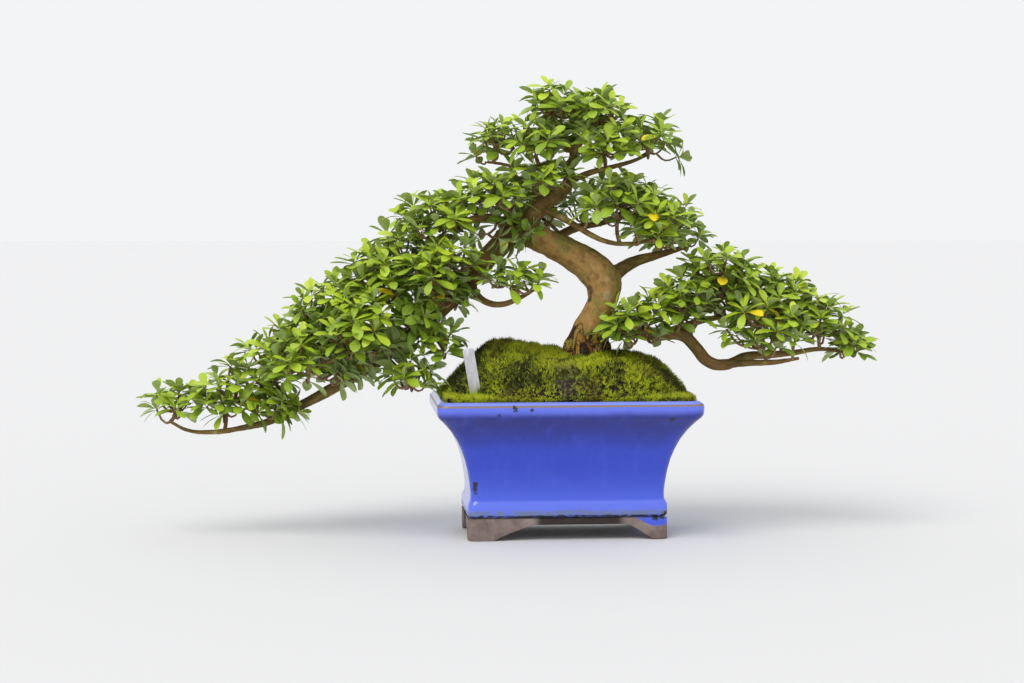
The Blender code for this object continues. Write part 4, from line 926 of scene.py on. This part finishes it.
def barkLook():
    look = Look("bark", {"Specular IOR Level": 0.2})
    place = look.coords()
    grain = look.attribute("grain")
    along = look.axis(grain, "Z")
    height, across = look.axis(place, "Z"), look.axis(place, "X")
    trunk = potMiddle.x + mound["trunkX"]
    broad = look.noise(place, 34, 4)
    mottle = look.noise(place, 120, 5, 0.62)
    streak = look.noise(look.stretched(grain, (1, 1, 0.20)), 330, 5, 0.6)
    flake = look.noise(look.stretched(grain, (1, 1, 0.45)), 130, 4, 0.6, 0.6)
    # smooth tan wood, mottled with olive, brown and pale spots
    look.colour = look.mix(look.step(broad, 0.42, 0.62), bark["tan"], bark["olive"])
    look.paint(look.step(mottle, 0.50, 0.64) * 0.6, bark["brown"])
    look.paint(look.step(streak, 0.52, 0.72) * 0.45, bark["umber"])
    look.paint(look.step(look.noise(place, 88, 4), 0.60, 0.70) * 0.5, bark["pale"])
    look.paint(look.step(look.noise(place, 210, 4, 0.7), 0.62, 0.72) * 0.7, bark["dark"])
    # limbs past the arch are darker
    limbShare = look.step(along, 0.235, 0.330)
    limbTone = look.ramp(
        flake * 0.6 + mottle * 0.4,
        [
            (0.34, bark["dark"]),
            (0.44, bark["umber"]),
            (0.52, bark["brown"]),
            (0.58, bark["olive"]),
            (0.68, bark["pale"]),
        ],
    )
    look.paint(limbShare * 0.66, limbTone)
    # the foot of the trunk flakes in yellow, orange and rust plates, with black between them
    onTrunk = 1 - look.step(along, 0.160, 0.170)
    ragged = look.noise(look.stretched(grain, (1, 1, 0.4)), 75, 2)
    edge = height + (across - trunk) * wood["flakyLean"] + (ragged - 0.5) * 0.05
    low = (1 - look.step(edge, wood["flakyTop"] - 0.0008, wood["flakyTop"] + 0.0008)) * onTrunk
    plates = look.jostled(look.stretched(grain, (1, 1, 0.55)), look.noise(place, 62, 4, 0.6), 0.030)
    shade = look.add("TexVoronoi", {}, {"Vector": plates, "Scale": 88.0}, "Color")
    gap = look.add("TexVoronoi", {"feature": "DISTANCE_TO_EDGE"}, {"Vector": plates, "Scale": 88.0})
    crustColour = look.ramp(
        look.axis(shade, "X") * 0.75 + mottle * 0.5 - 0.10 + (height - 0.185) * 4,
        [
            (0.16, bark["dark"]),
            (0.26, bark["umber"]),
            (0.36, bark["rust"]),
            (0.46, bark["brown"]),
            (0.56, bark["orange"]),
            (0.66, bark["yellow"]),
            (0.80, bark["tan"]),
        ],
    )
    cracks = 1 - look.step(gap, 0.02, 0.11)
    crustColour = look.mix(cracks * 0.92, crustColour, bark["dark"])
    # painted shade on the trunk foot's right side, low down, away from the light
    shadeSide = look.step(across - trunk, 0.002, 0.016)
    shadeSide = shadeSide * (1 - look.step(height + (broad - 0.5) * 0.05, 0.170, 0.200))
    crustColour = look.mix(shadeSide * 0.85, crustColour, bark["dark"])
    look.paint(low, crustColour)
    rim = look.band(edge, wood["flakyTop"], 0.0008, 0.0020) * onTrunk
    look.paint(rim * 0.50, bark["dark"])
    # painted shade in a hollow and a crack inside the bend, and a painted highlight on a pale patch
    loose = look.jostled(place, look.noise(place, 160, 3), 0.006)
    shift = potMiddle + Vector(wood["spotShift"])
    hollow, crack, highlightPatch = (
        look.spots(loose, [(*(shift + Vector(place)), reach) for *place, reach in map(metres, wood[kind])])
        for kind in ("hollow", "crack", "highlightPatch")
    )
    # painted highlight: a pale patch where the bend catches the light
    look.paint(highlightPatch * 0.7, bark["pale"])
    look.paint(look.maths("MAXIMUM", hollow, crack) * 0.9, bark["dark"])
    look.feed("Base Color", look.colour)
    look.feed("Roughness", 0.66 + streak * 0.3)
    relief = streak * 0.35 + flake * 0.7 + mottle * 0.4 + low * (mottle * 1.6 - cracks * 2.2)
    look.feed("Normal", look.bump(relief - rim * 1.2 - hollow * 2, 0.75, 0.0013))
    return look.material


def makeWood(material):
    mesh = curveMesh([limbRoute(name) for name in limbs], 8, 5, "limbs")
    tree = linkMesh(mesh, "limbs", [])
    join = tree.modifiers.new("join", "REMESH")
    join.mode = "VOXEL"
    join.voxel_size = wood["voxel"]
    skin = settled(tree)
    bpy.data.objects.remove(tree)
    bm = bmesh.new()
    bm.from_mesh(skin)
    for _ in range(wood["smoothings"]):
        bmesh.ops.smooth_vert(
            bm, verts=bm.verts, factor=0.5, use_axis_x=True, use_axis_y=True, use_axis_z=True
        )
    bmesh.ops.recalc_face_normals(bm, faces=bm.faces)
    bm.normal_update()
    grains = grainOf(np.array([vert.co[:] for vert in bm.verts]))
    layer = bm.verts.layers.float_vector.new("grain")
    for vert, (first, second, along, radius) in zip(bm.verts, grains.tolist()):
        vert[layer] = (first, second, along)
        thick = min(radius / 0.012, 1.6)
        lump = noise.noise(vert.co * 62) + 0.6 * noise.noise(vert.co * 150)
        ridge = noise.noise(Vector((first * 420, second * 420, along * 60)))
        rise = lump * wood["lump"] * thick + ridge * wood["grain"] * min(thick, 1.2)
        fade = min(max((wood["fluteTop"] - vert.co.z) / wood["fluteFade"], 0), 1)
        if fade and along < 0.15:
            angle = math.atan2(second, first)
            rise += fade * radius * wood["fluteDepth"] * math.cos(wood["flutes"] * angle + 0.7)
            rise += fade * 0.0012 * noise.noise(Vector((first, second, along)) * 210)
        vert.co += vert.normal * rise
    fit(pieceFrom(bm, "treeWood", [material], None, 180), "bark", "tree")


makeWood(barkLook())
print("wood made")


# foliage: for each spray the limb it grows from, the middle and radii of its cloud,
# and shoots that stand out, all in millimetres
sprays = {
    "crown_top": ("leader", (-10, 4, 438), (26, 26, 16), [(-21, -2, 452)]),
    "crown_fork": ("crownFork", (30, -12, 430), (24, 24, 16), [(29, -12, 443)]),
    "crown_left": ("crownLeft", (-74, 0, 400), (22, 30, 14), [(-94, -2, 386), (-64, -2, 413)]),
    "crown_near_left": ("crownLeft", (-34, -18, 402), (26, 24, 14), []),
    "crown_front": ("crownRight", (30, -26, 398), (26, 20, 16), []),
    "crown_right": ("crownRight", (74, 0, 406), (26, 30, 16), [(106, -2, 386), (96, 4, 400)]),
    "crown_back": ("crownBack", (10, 48, 408), (44, 26, 18), []),
    "middle_left": ("middleLeft", (-84, -16, 346), (34, 30, 16), []),
    "middle_far_left": ("middleLeft", (-134, -14, 324), (34, 34, 18), []),
    "middle_centre": ("leader", (-30, -22, 364), (34, 20, 14), []),
    "middle_high": ("middleFront", (45, -34, 342), (36, 24, 20), []),
    "middle_front": ("middleFront", (84, -34, 318), (30, 24, 20), []),
    "middle_right": ("middleRight", (98, 10, 318), (30, 30, 20), [(130, 4, 304), (86, 2, 344)]),
    "middle_back": ("middleBack", (44, 54, 346), (46, 26, 20), []),
    "middle_back_left": ("middleBack", (-30, 48, 340), (36, 26, 18), []),
    "under_left": ("underLeft", (-60, -38, 264), (34, 20, 12), []),
    "tail_high": ("tailBackHigh", (-164, 34, 290), (40, 34, 20), []),
    "tail_shoulder": ("trunk", (-130, -34, 280), (36, 26, 20), []),
    "tail_upper": ("trunk", (-186, -4, 268), (36, 32, 24), []),
    "tail_hanging": ("trunk", (-128, -22, 206), (14, 12, 12), []),
    "tail_under": ("trunk", (-160, -20, 172), (22, 22, 12), []),
    "tail_front": ("tailFront", (-212, -40, 224), (40, 24, 22), []),
    "tail_crest": ("trunk", (-240, 10, 236), (34, 32, 22), []),
    "tail_back": ("tailBackLow", (-252, 44, 204), (38, 26, 22), []),
    "tail_low": ("tailFront", (-270, -36, 190), (30, 22, 18), []),
    "tail_middle": ("trunk", (-296, 8, 184), (30, 28, 22), [(-290, 4, 214)]),
    "tail_outer": ("trunk", (-342, 0, 152), (30, 26, 16), [(-338, 6, 178)]),
    "tail_tip": ("trunk", (-392, 0, 144), (22, 20, 10), [(-410, 2, 136)]),
    "right_near": ("right", (68, -34, 228), (34, 20, 18), []),
    "right_inner": ("right", (108, -30, 246), (34, 24, 20), []),
    "right_upper": ("rightUpper", (152, -10, 272), (36, 30, 18), []),
    "right_back": ("rightBack", (166, 44, 252), (44, 26, 20), []),
    "right_front": ("rightFront", (190, -34, 218), (40, 22, 20), []),
    "right_middle": ("right", (212, 10, 242), (36, 32, 24), []),
    "right_outer": ("right", (252, -4, 226), (28, 26, 18), []),
    "right_tip": ("right", (286, 0, 202), (22, 20, 12), [(298, 0, 198)]),
}
# shoots that hang in front of the long limb: how many, their middle and how far they spread
veils = {
    "tail_shoulder": (9, (-122, -26, 250), (20, 10, 16)),
    "tail_upper": (11, (-152, -22, 226), (26, 12, 22)),
    "tail_front": (11, (-188, -20, 196), (26, 12, 17)),
    "tail_low": (9, (-222, -16, 174), (22, 10, 12)),
    "tail_outer": (8, (-300, -12, 137), (36, 8, 10)),
    "middle_left": (9, (-70, -14, 312), (26, 10, 12)),
    "right_near": (6, (50, -30, 212), (18, 10, 10)),
}
leaf = {
    "length": (0.0175, 0.0265),
    "wide": 0.43,
    "thick": 0.016,
    "outline": [(0, 0.07), (0.12, 0.16), (0.32, 0.55), (0.54, 0.92), (0.74, 1.0), (0.90, 0.70), (1.0, 0.10)],
    # fold, droop and twist of each kind of blade
    "bends": [
        (0.22, 0.14, 0.00), (0.12, 0.28, 0.15), (0.25, 0.38, -0.20), (-0.06, 0.22, 0.25),
        (0.30, 0.08, -0.10), (0.08, 0.48, 0.10),
    ],
    "sharp": math.radians(75),
    "shoots": 500,
    "deeper": {"crown": 0.0, "middle": 0.1, "under": 0.0, "tail": 0.30, "right": 0.25},
    "upright": 0.55,
    "siteDraws": 14,
    "knotDrop": 0.45,
    "tone": (0.42, 0.13),
    "toneRise": 0.24,
    "whorls": [(5, 78, 1.0), (4, 52, 0.95), (2, 24, 0.70)],
    "yellowShare": 0.010,
    "budLong": 0.0058,
    "twig": 0.00095,
    "stem": 0.00170,
    "seed": 23,
}
leafColours = {
    "young": (0.460, 0.590, 0.028),
    "green": (0.290, 0.430, 0.020),
    "deep": (0.135, 0.225, 0.020),
    "under": (0.330, 0.420, 0.130),
    "underPale": (0.430, 0.520, 0.230),
    "yellow": (0.800, 0.620, 0.015),
    "rib": (0.400, 0.540, 0.110),
    "tip": (0.520, 0.620, 0.045),
}


def leafShape(fold, droop, twist):
    # one unit long along +Y with its upper face to +Z: two sheets that share their outline and tip
    bm = bmesh.new()
    rows = leaf["outline"]
    for side in (1, -1):
        made = bmesh.ops.create_grid(bm, x_segments=2, y_segments=len(rows) - 1, size=0.5)
        for vert in made["verts"]:
            along, width = rows[round((vert.co.y + 0.5) * (len(rows) - 1))]
            half = leaf["wide"] / 2 * width
            across = vert.co.x * 2 * half
            turn = twist * along
            swell = leaf["thick"] / 2 * side if abs(across) < 0.001 and 0 < along < 1 else 0
            vert.co = (
                across * math.cos(turn),
                along * (1 - droop * 0.3 * along),
                abs(across) * fold + across * math.sin(turn) - droop * along**2 + swell,
            )
    bmesh.ops.remove_doubles(bm, verts=bm.verts, dist=0.0001)
    # the second tone is 1 on the underside
    return shapeOf(
        bm,
        lambda vert, face: (0.5, 1 if face.normal.z < 0 else 0, 0),
        lambda vert: (vert.co.x / leaf["wide"] + 0.5, vert.co.y),
    )


def budShape():
    bm = bmesh.new()
    bmesh.ops.create_uvsphere(bm, u_segments=6, v_segments=5, radius=0.5)
    bmesh.ops.translate(bm, verts=bm.verts, vec=(0, 0, 0.5))
    for vert in bm.verts:
        slim = 0.42 * (1 - 0.45 * vert.co.z)
        vert.co.x *= slim
        vert.co.y *= slim
    bmesh.ops.rotate(bm, verts=bm.verts, matrix=Matrix.Rotation(-math.pi / 2, 3, "X"))
    return shapeOf(bm, lambda vert, face: (0.9, 0, 0.25), lambda vert: (0.5, 0.5))


def leafLook():
    look = Look("leaf", {"Specular IOR Level": 0.4})
    place = look.coords()
    tone = look.attribute("leafTone", "Color")
    shade, under, age = (look.axis(tone, letter) for letter in "XYZ")
    chart = look.add("UVMap", {"uv_map": "chart"}, {})
    across, along = look.axis(chart, "X"), look.axis(chart, "Y")
    mottle = look.noise(place, 130, 3)
    fine = look.noise(place, 800, 3)
    look.colour = look.ramp(
        shade + (mottle - 0.5) * 0.35,
        [
            (0.0, leafColours["deep"]),
            (0.40, leafColours["green"]),
            (0.80, leafColours["young"]),
            (1.0, leafColours["tip"]),
        ],
    )
    # the blade is younger and yellower towards its root, with a pale rib and faint side veins
    look.paint((1 - look.step(along, 0.02, 0.40)) * 0.6, leafColours["young"])
    rib = 1 - look.step(abs(across - 0.5), 0.012, 0.05)
    veins = look.add(
        "TexWave",
        {"wave_type": "BANDS", "bands_direction": "Y"},
        {
            "Vector": look.add("CombineXYZ", {}, {"X": 0.0, "Y": along - abs(across - 0.5) * 0.8, "Z": 0.0}),
            "Scale": 2.6,
            "Distortion": 1.2,
        },
        1,
    )
    look.paint(rib * 0.45, leafColours["rib"])
    look.paint(look.step(veins, 0.80, 1.0) * 0.18, leafColours["rib"])
    pale = look.mix(look.step(mottle, 0.35, 0.65), leafColours["under"], leafColours["underPale"])
    look.paint(under * 0.85, pale)
    look.paint(look.step(age, 0.4, 0.8), leafColours["yellow"])
    look.paint(look.step(fine, 0.66, 0.72) * 0.25, (0.10, 0.06, 0.02))
    look.feed("Base Color", look.colour)
    look.feed("Roughness", 0.36 + under * 0.3 + fine * 0.12)
    look.feed("Normal", look.bump(rib * -0.6 + veins * 0.25 + fine * 0.1, 0.4, 0.0006))
    return look.material


def twigLook():
    look = Look("twig", {"Roughness": 0.7, "Specular IOR Level": 0.3})
    place = look.coords()
    ring = look.noise(place, 260, 4)
    look.colour = look.ramp(
        ring * 0.6 + look.noise(place, 40, 2) * 0.5,
        [
            (0.35, (0.050, 0.028, 0.016)),
            (0.50, (0.170, 0.095, 0.048)),
            (0.62, (0.330, 0.200, 0.105)),
            (0.75, (0.260, 0.230, 0.070)),
        ],
    )
    look.feed("Base Color", look.colour)
    look.feed("Normal", look.bump(ring, 0.6, 0.0008))
    return look.material


def spreadSites(rng, count, centre, radii, placed):
    # shoots through the cloud, mostly near its surface, each the furthest of several draws from the others
    sites = []
    for _ in range(count):
        best = None
        for _ in range(leaf["siteDraws"]):
            draw = Vector([rng.gauss(0, 1) for _ in range(3)]).normalized()
            draw.z = draw.z * 0.95 + 0.08
            reach = rng.uniform(0.2, 1) ** 0.55
            place = centre + Vector([part * radius * reach for part, radius in zip(draw, radii)])
            room = min([(place - other).length for other in placed], default=1)
            if best is None or room > best[0]:
                best = (room, place)
        sites.append(best[1])
        placed.append(best[1])
    return sites


def cloudShare(name):
    # this cloud's part of all the shoots
    sizes = {each: (row[2][0] * row[2][1] * row[2][2]) ** 0.75 for each, row in sprays.items()}
    return sizes[name] / sum(sizes.values())


def growSpray(name, rng, placed, blades, bud, twigs):
    limb, middle, radii, tips = sprays[name]
    radii = metres(radii)
    # shoots may also fill the cloud's underside: its top stays, and its bottom comes down
    deeper = leaf["deeper"][name.split("_")[0]]
    centre = Vector(metres(middle)) + treeShift - Vector((0, 0, radii[2] * deeper))
    radii = (radii[0], radii[1], radii[2] * (1 + deeper))
    sites = [Vector(metres(tip)) + treeShift for tip in tips]
    placed += sites
    count = max(2, round(leaf["shoots"] * cloudShare(name) * (1 + deeper * 0.6)) - len(tips))
    sites += spreadSites(rng, count, centre, radii, placed)
    if name in veils:
        veilCount, veilMiddle, veilRadii = veils[name]
        veilCentre = Vector(metres(veilMiddle)) + treeShift
        sites += spreadSites(rng, veilCount, veilCentre, metres(veilRadii), placed)
    # forks start on the limb's own line, then on twigs already grown
    forks = []
    route = limbRoute(limb)
    for (low, _), (high, _) in zip(route[1:], route[2:]):
        for step in range(4):
            forks.append(low.lerp(high, step / 4))
    forks.append(route[-1][0])
    knot = centre - Vector((0, 0, radii[2] * leaf["knotDrop"]))
    root = min(forks, key=lambda fork: (fork - knot).length)
    middleKnot = root.lerp(knot, 0.5) + Vector([rng.uniform(-0.003, 0.003) for _ in range(3)])
    thick = leaf["stem"]
    twigs.append([(root, thick * 1.25), (middleKnot, thick * 1.1), (knot, thick)])
    forks = [fork for fork in forks if (fork - centre).length < max(radii) * 1.25]
    forks += [middleKnot, knot]
    leaves = Scatter()
    sites.sort(key=lambda site: (site - knot).length)
    low, high = cadBox
    for site in sites:
        outward = Vector([gap / radius for gap, radius in zip(site - centre, radii)])
        lean = Vector([rng.uniform(-0.2, 0.2) for _ in range(3)])
        axis = (Vector((0, 0, 1)) + leaf["upright"] * outward + lean).normalized()
        start = min(forks, key=lambda fork: (fork - site).length + max(0, fork.z - site.z) * 1.5)
        bend = start.lerp(site - axis * 0.006, 0.55) - Vector((0, 0, 0.003)) + lean * 0.008
        size = leaf["twig"] * rng.uniform(0.9, 1.25)
        twigs.append([(start, size * 1.35), (bend, size * 1.15), (site + axis * 0.001, size)])
        forks.append(bend)
        side = axis.orthogonal().normalized()
        turn = rng.uniform(0, 6.3)
        shootTone = rng.gauss(*leaf["tone"]) + leaf["toneRise"] * outward.z
        for number, (count, tilt, share) in enumerate(leaf["whorls"]):
            count += rng.choice((-1, 0, 0))
            for place in range(count):
                spin = turn + number * 0.7 + math.tau * place / count + rng.uniform(-0.3, 0.3)
                away = Matrix.Rotation(spin, 3, axis) @ side
                tip = math.radians(tilt + rng.uniform(-14, 16))
                out = axis * math.cos(tip) + away * math.sin(tip)
                across = out.cross(axis).normalized()
                up = across.cross(out)
                length = rng.uniform(*leaf["length"]) * share
                base = site + axis * 0.0022 * number + away * 0.0006
                end = base + out * length
                if any(end[k] < low[k] or end[k] > high[k] for k in range(3)):
                    length *= 0.7
                frameOf = Matrix((across, out, up)).transposed().to_4x4()
                grow = Matrix.Diagonal((length * rng.uniform(0.85, 1.15), length, length, 1))
                matrix = Matrix.Translation(base) @ frameOf @ grow
                yellow = 1 if rng.random() < leaf["yellowShare"] and number == 0 else 0
                tone = {0: min(max(shootTone + rng.uniform(-0.15, 0.15) + 0.10 * number, 0), 1), 2: yellow}
                leaves.stamp(rng.choice(blades), matrix, tone)
        frameOf = Matrix((side, axis, side.cross(axis))).transposed().to_4x4()
        long = leaf["budLong"] * rng.uniform(0.8, 1.2)
        leaves.stamp(bud, Matrix.Translation(site + axis * 0.003) @ frameOf @ Matrix.Scale(long, 4), {})
    return leaves


def makeFoliage():
    rng = random.Random(leaf["seed"])
    blades = [leafShape(*bends) for bends in leaf["bends"]]
    bud = budShape()
    material = leafLook()
    placed, twigs = [], []
    for name in sprays:
        leaves = growSpray(name, rng, placed, blades, bud, twigs)
        piece = leaves.piece("leaves_" + name, "leafTone", [material])
        piece.data.set_sharp_from_angle(angle=leaf["sharp"])
        fit(piece, "leaf", "spray_" + name)
    mesh = curveMesh(twigs, 3, 1, "twigs")
    mesh.materials.clear()
    piece = linkMesh(mesh, "twigs", [twigLook()])
    mesh.shade_smooth()
    fit(piece, "bark")
    print("shoots", len(placed), "twig faces", len(mesh.polygons))


makeFoliage()
print("foliage made")


# plant label: weathered plastic, left blank
label = {
    "width": 0.0110,
    "length": 0.0783,
    "thick": 0.0013,
    "point": 0.014,
    "clip": 0.0012,
    "round": 0.0003,
    "foot": (-0.0861, -0.0590, 0.1120),
    "leanLeft": math.radians(9.7),
    "leanBack": math.radians(1),
}


def labelLook():
    look = Look("labelPlastic")
    place = look.coords()
    speck = look.noise(place, 900, 4, 0.7)
    cloud = look.noise(look.stretched(place, (1, 1, 0.3)), 140, 4)
    look.colour = look.mix(look.step(cloud, 0.35, 0.65), (0.62, 0.62, 0.66), (0.44, 0.44, 0.46))
    look.paint(look.step(speck, 0.56, 0.68) * 0.6, (0.22, 0.22, 0.23))
    height = look.axis(place, "Z")
    look.paint((1 - look.step(height, 0.140, 0.165)) * 0.6, (0.20, 0.22, 0.10))
    look.feed("Base Color", look.colour)
    look.feed("Roughness", 0.42 + cloud * 0.25)
    look.feed("Normal", look.bump(speck, 0.3, 0.0003))
    return look.material


def makeLabel():
    half, top, clip = label["width"] / 2, label["length"], label["clip"]
    outline = [(0, 0), (half, label["point"]), (half, top - clip), (half - clip, top), (clip - half, top)]
    outline += [(-half, top - clip), (-half, label["point"])]
    bm = bmesh.new()
    face = bm.faces.new([bm.verts.new((x, -label["thick"] / 2, z)) for x, z in outline])
    made = bmesh.ops.extrude_face_region(bm, geom=[face])
    bmesh.ops.translate(bm, verts=movedVerts(made), vec=(0, label["thick"], 0))
    bmesh.ops.recalc_face_normals(bm, faces=bm.faces)
    rounded(bm, list(bm.edges), label["round"])
    lean = Matrix.Rotation(-label["leanLeft"], 4, "Y") @ Matrix.Rotation(label["leanBack"], 4, "X")
    bm.transform(Matrix.Translation(label["foot"]) @ lean)
    fit(pieceFrom(bm, "plantLabel", [labelLook()], potMiddle, 50), "label", "label")


makeLabel()
print("label made")


# soil and drain screens keep their solids
def soilLook():
    look = Look("soil", {"Roughness": 0.95})
    place = look.coords()
    grit = look.add("TexVoronoi", {}, {"Vector": place, "Scale": 320.0})
    tint = look.noise(place, 150, 4, 0.7)
    earth = [(0.3, (0.020, 0.014, 0.010)), (0.5, (0.075, 0.048, 0.028)), (0.7, (0.160, 0.120, 0.080))]
    look.colour = look.ramp(tint, earth)
    look.paint(look.step(grit, 0.25, 0.6), (0.03, 0.02, 0.014))
    look.feed("Base Color", look.colour)
    look.feed("Normal", look.bump(1 - grit, 0.8, 0.002))
    return look.material


def screenLook():
    look = Look("screenPlastic")
    place = look.coords()
    dust = look.noise(place, 240, 5, 0.65)
    dusty = look.step(dust, 0.45, 0.7) * 0.6
    look.feed("Base Color", look.mix(dusty, (0.016, 0.016, 0.017), (0.11, 0.085, 0.06)))
    look.feed("Roughness", 0.45 + dust * 0.3)
    look.feed("Normal", look.bump(look.noise(place, 900, 2), 0.2, 0.0003))
    return look.material


def dressNodes():
    soil, screen = soilLook(), screenLook()
    for name, material in (("soil", soil), ("drain_screen_left", screen), ("drain_screen_right", screen)):
        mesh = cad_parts[name].data
        mesh.materials.clear()
        mesh.materials.append(material)


dressNodes()
print("soil and screens dressed")


# floor and lights
stage = {
    "floor": (0.66, 0.66, 0.67),
    "floorHalf": 30,
    "floorDrop": 0.0002,
    "sky": (0.97, 0.985, 1.0),
    "skyStrength": 0.92,
}
sun = {"place": (-0.9, -1.1, 1.9), "power": 1.7, "spread": math.radians(38), "tint": (1.0, 0.975, 0.93)}


def makeStage():
    bm = bmesh.new()
    bmesh.ops.create_grid(bm, x_segments=1, y_segments=1, size=stage["floorHalf"])
    bmesh.ops.translate(bm, verts=bm.verts, vec=(0, 0, -stage["floorDrop"]))
    look = Look("floor", {"Roughness": 0.9, "Specular IOR Level": 0.1, "Base Color": (*stage["floor"], 1)})
    floor = pieceFrom(bm, "floor", [look.material])
    world = bpy.data.worlds.new("sky")
    bpy.context.scene.world = world
    world.use_nodes = True
    sky = world.node_tree.nodes["Background"]
    sky.inputs["Color"].default_value = (*stage["sky"], 1)
    sky.inputs["Strength"].default_value = stage["skyStrength"]
    data = bpy.data.lights.new("sun", "SUN")
    data.energy, data.angle, data.color = sun["power"], sun["spread"], sun["tint"]
    lamp = bpy.data.objects.new("sun", data)
    lamp.rotation_euler = Vector(sun["place"]).to_track_quat("Z", "Y").to_euler()
    bpy.context.scene.collection.objects.link(lamp)
    bpy.context.scene.view_settings.view_transform = "Standard"


makeStage()
print("stage set")
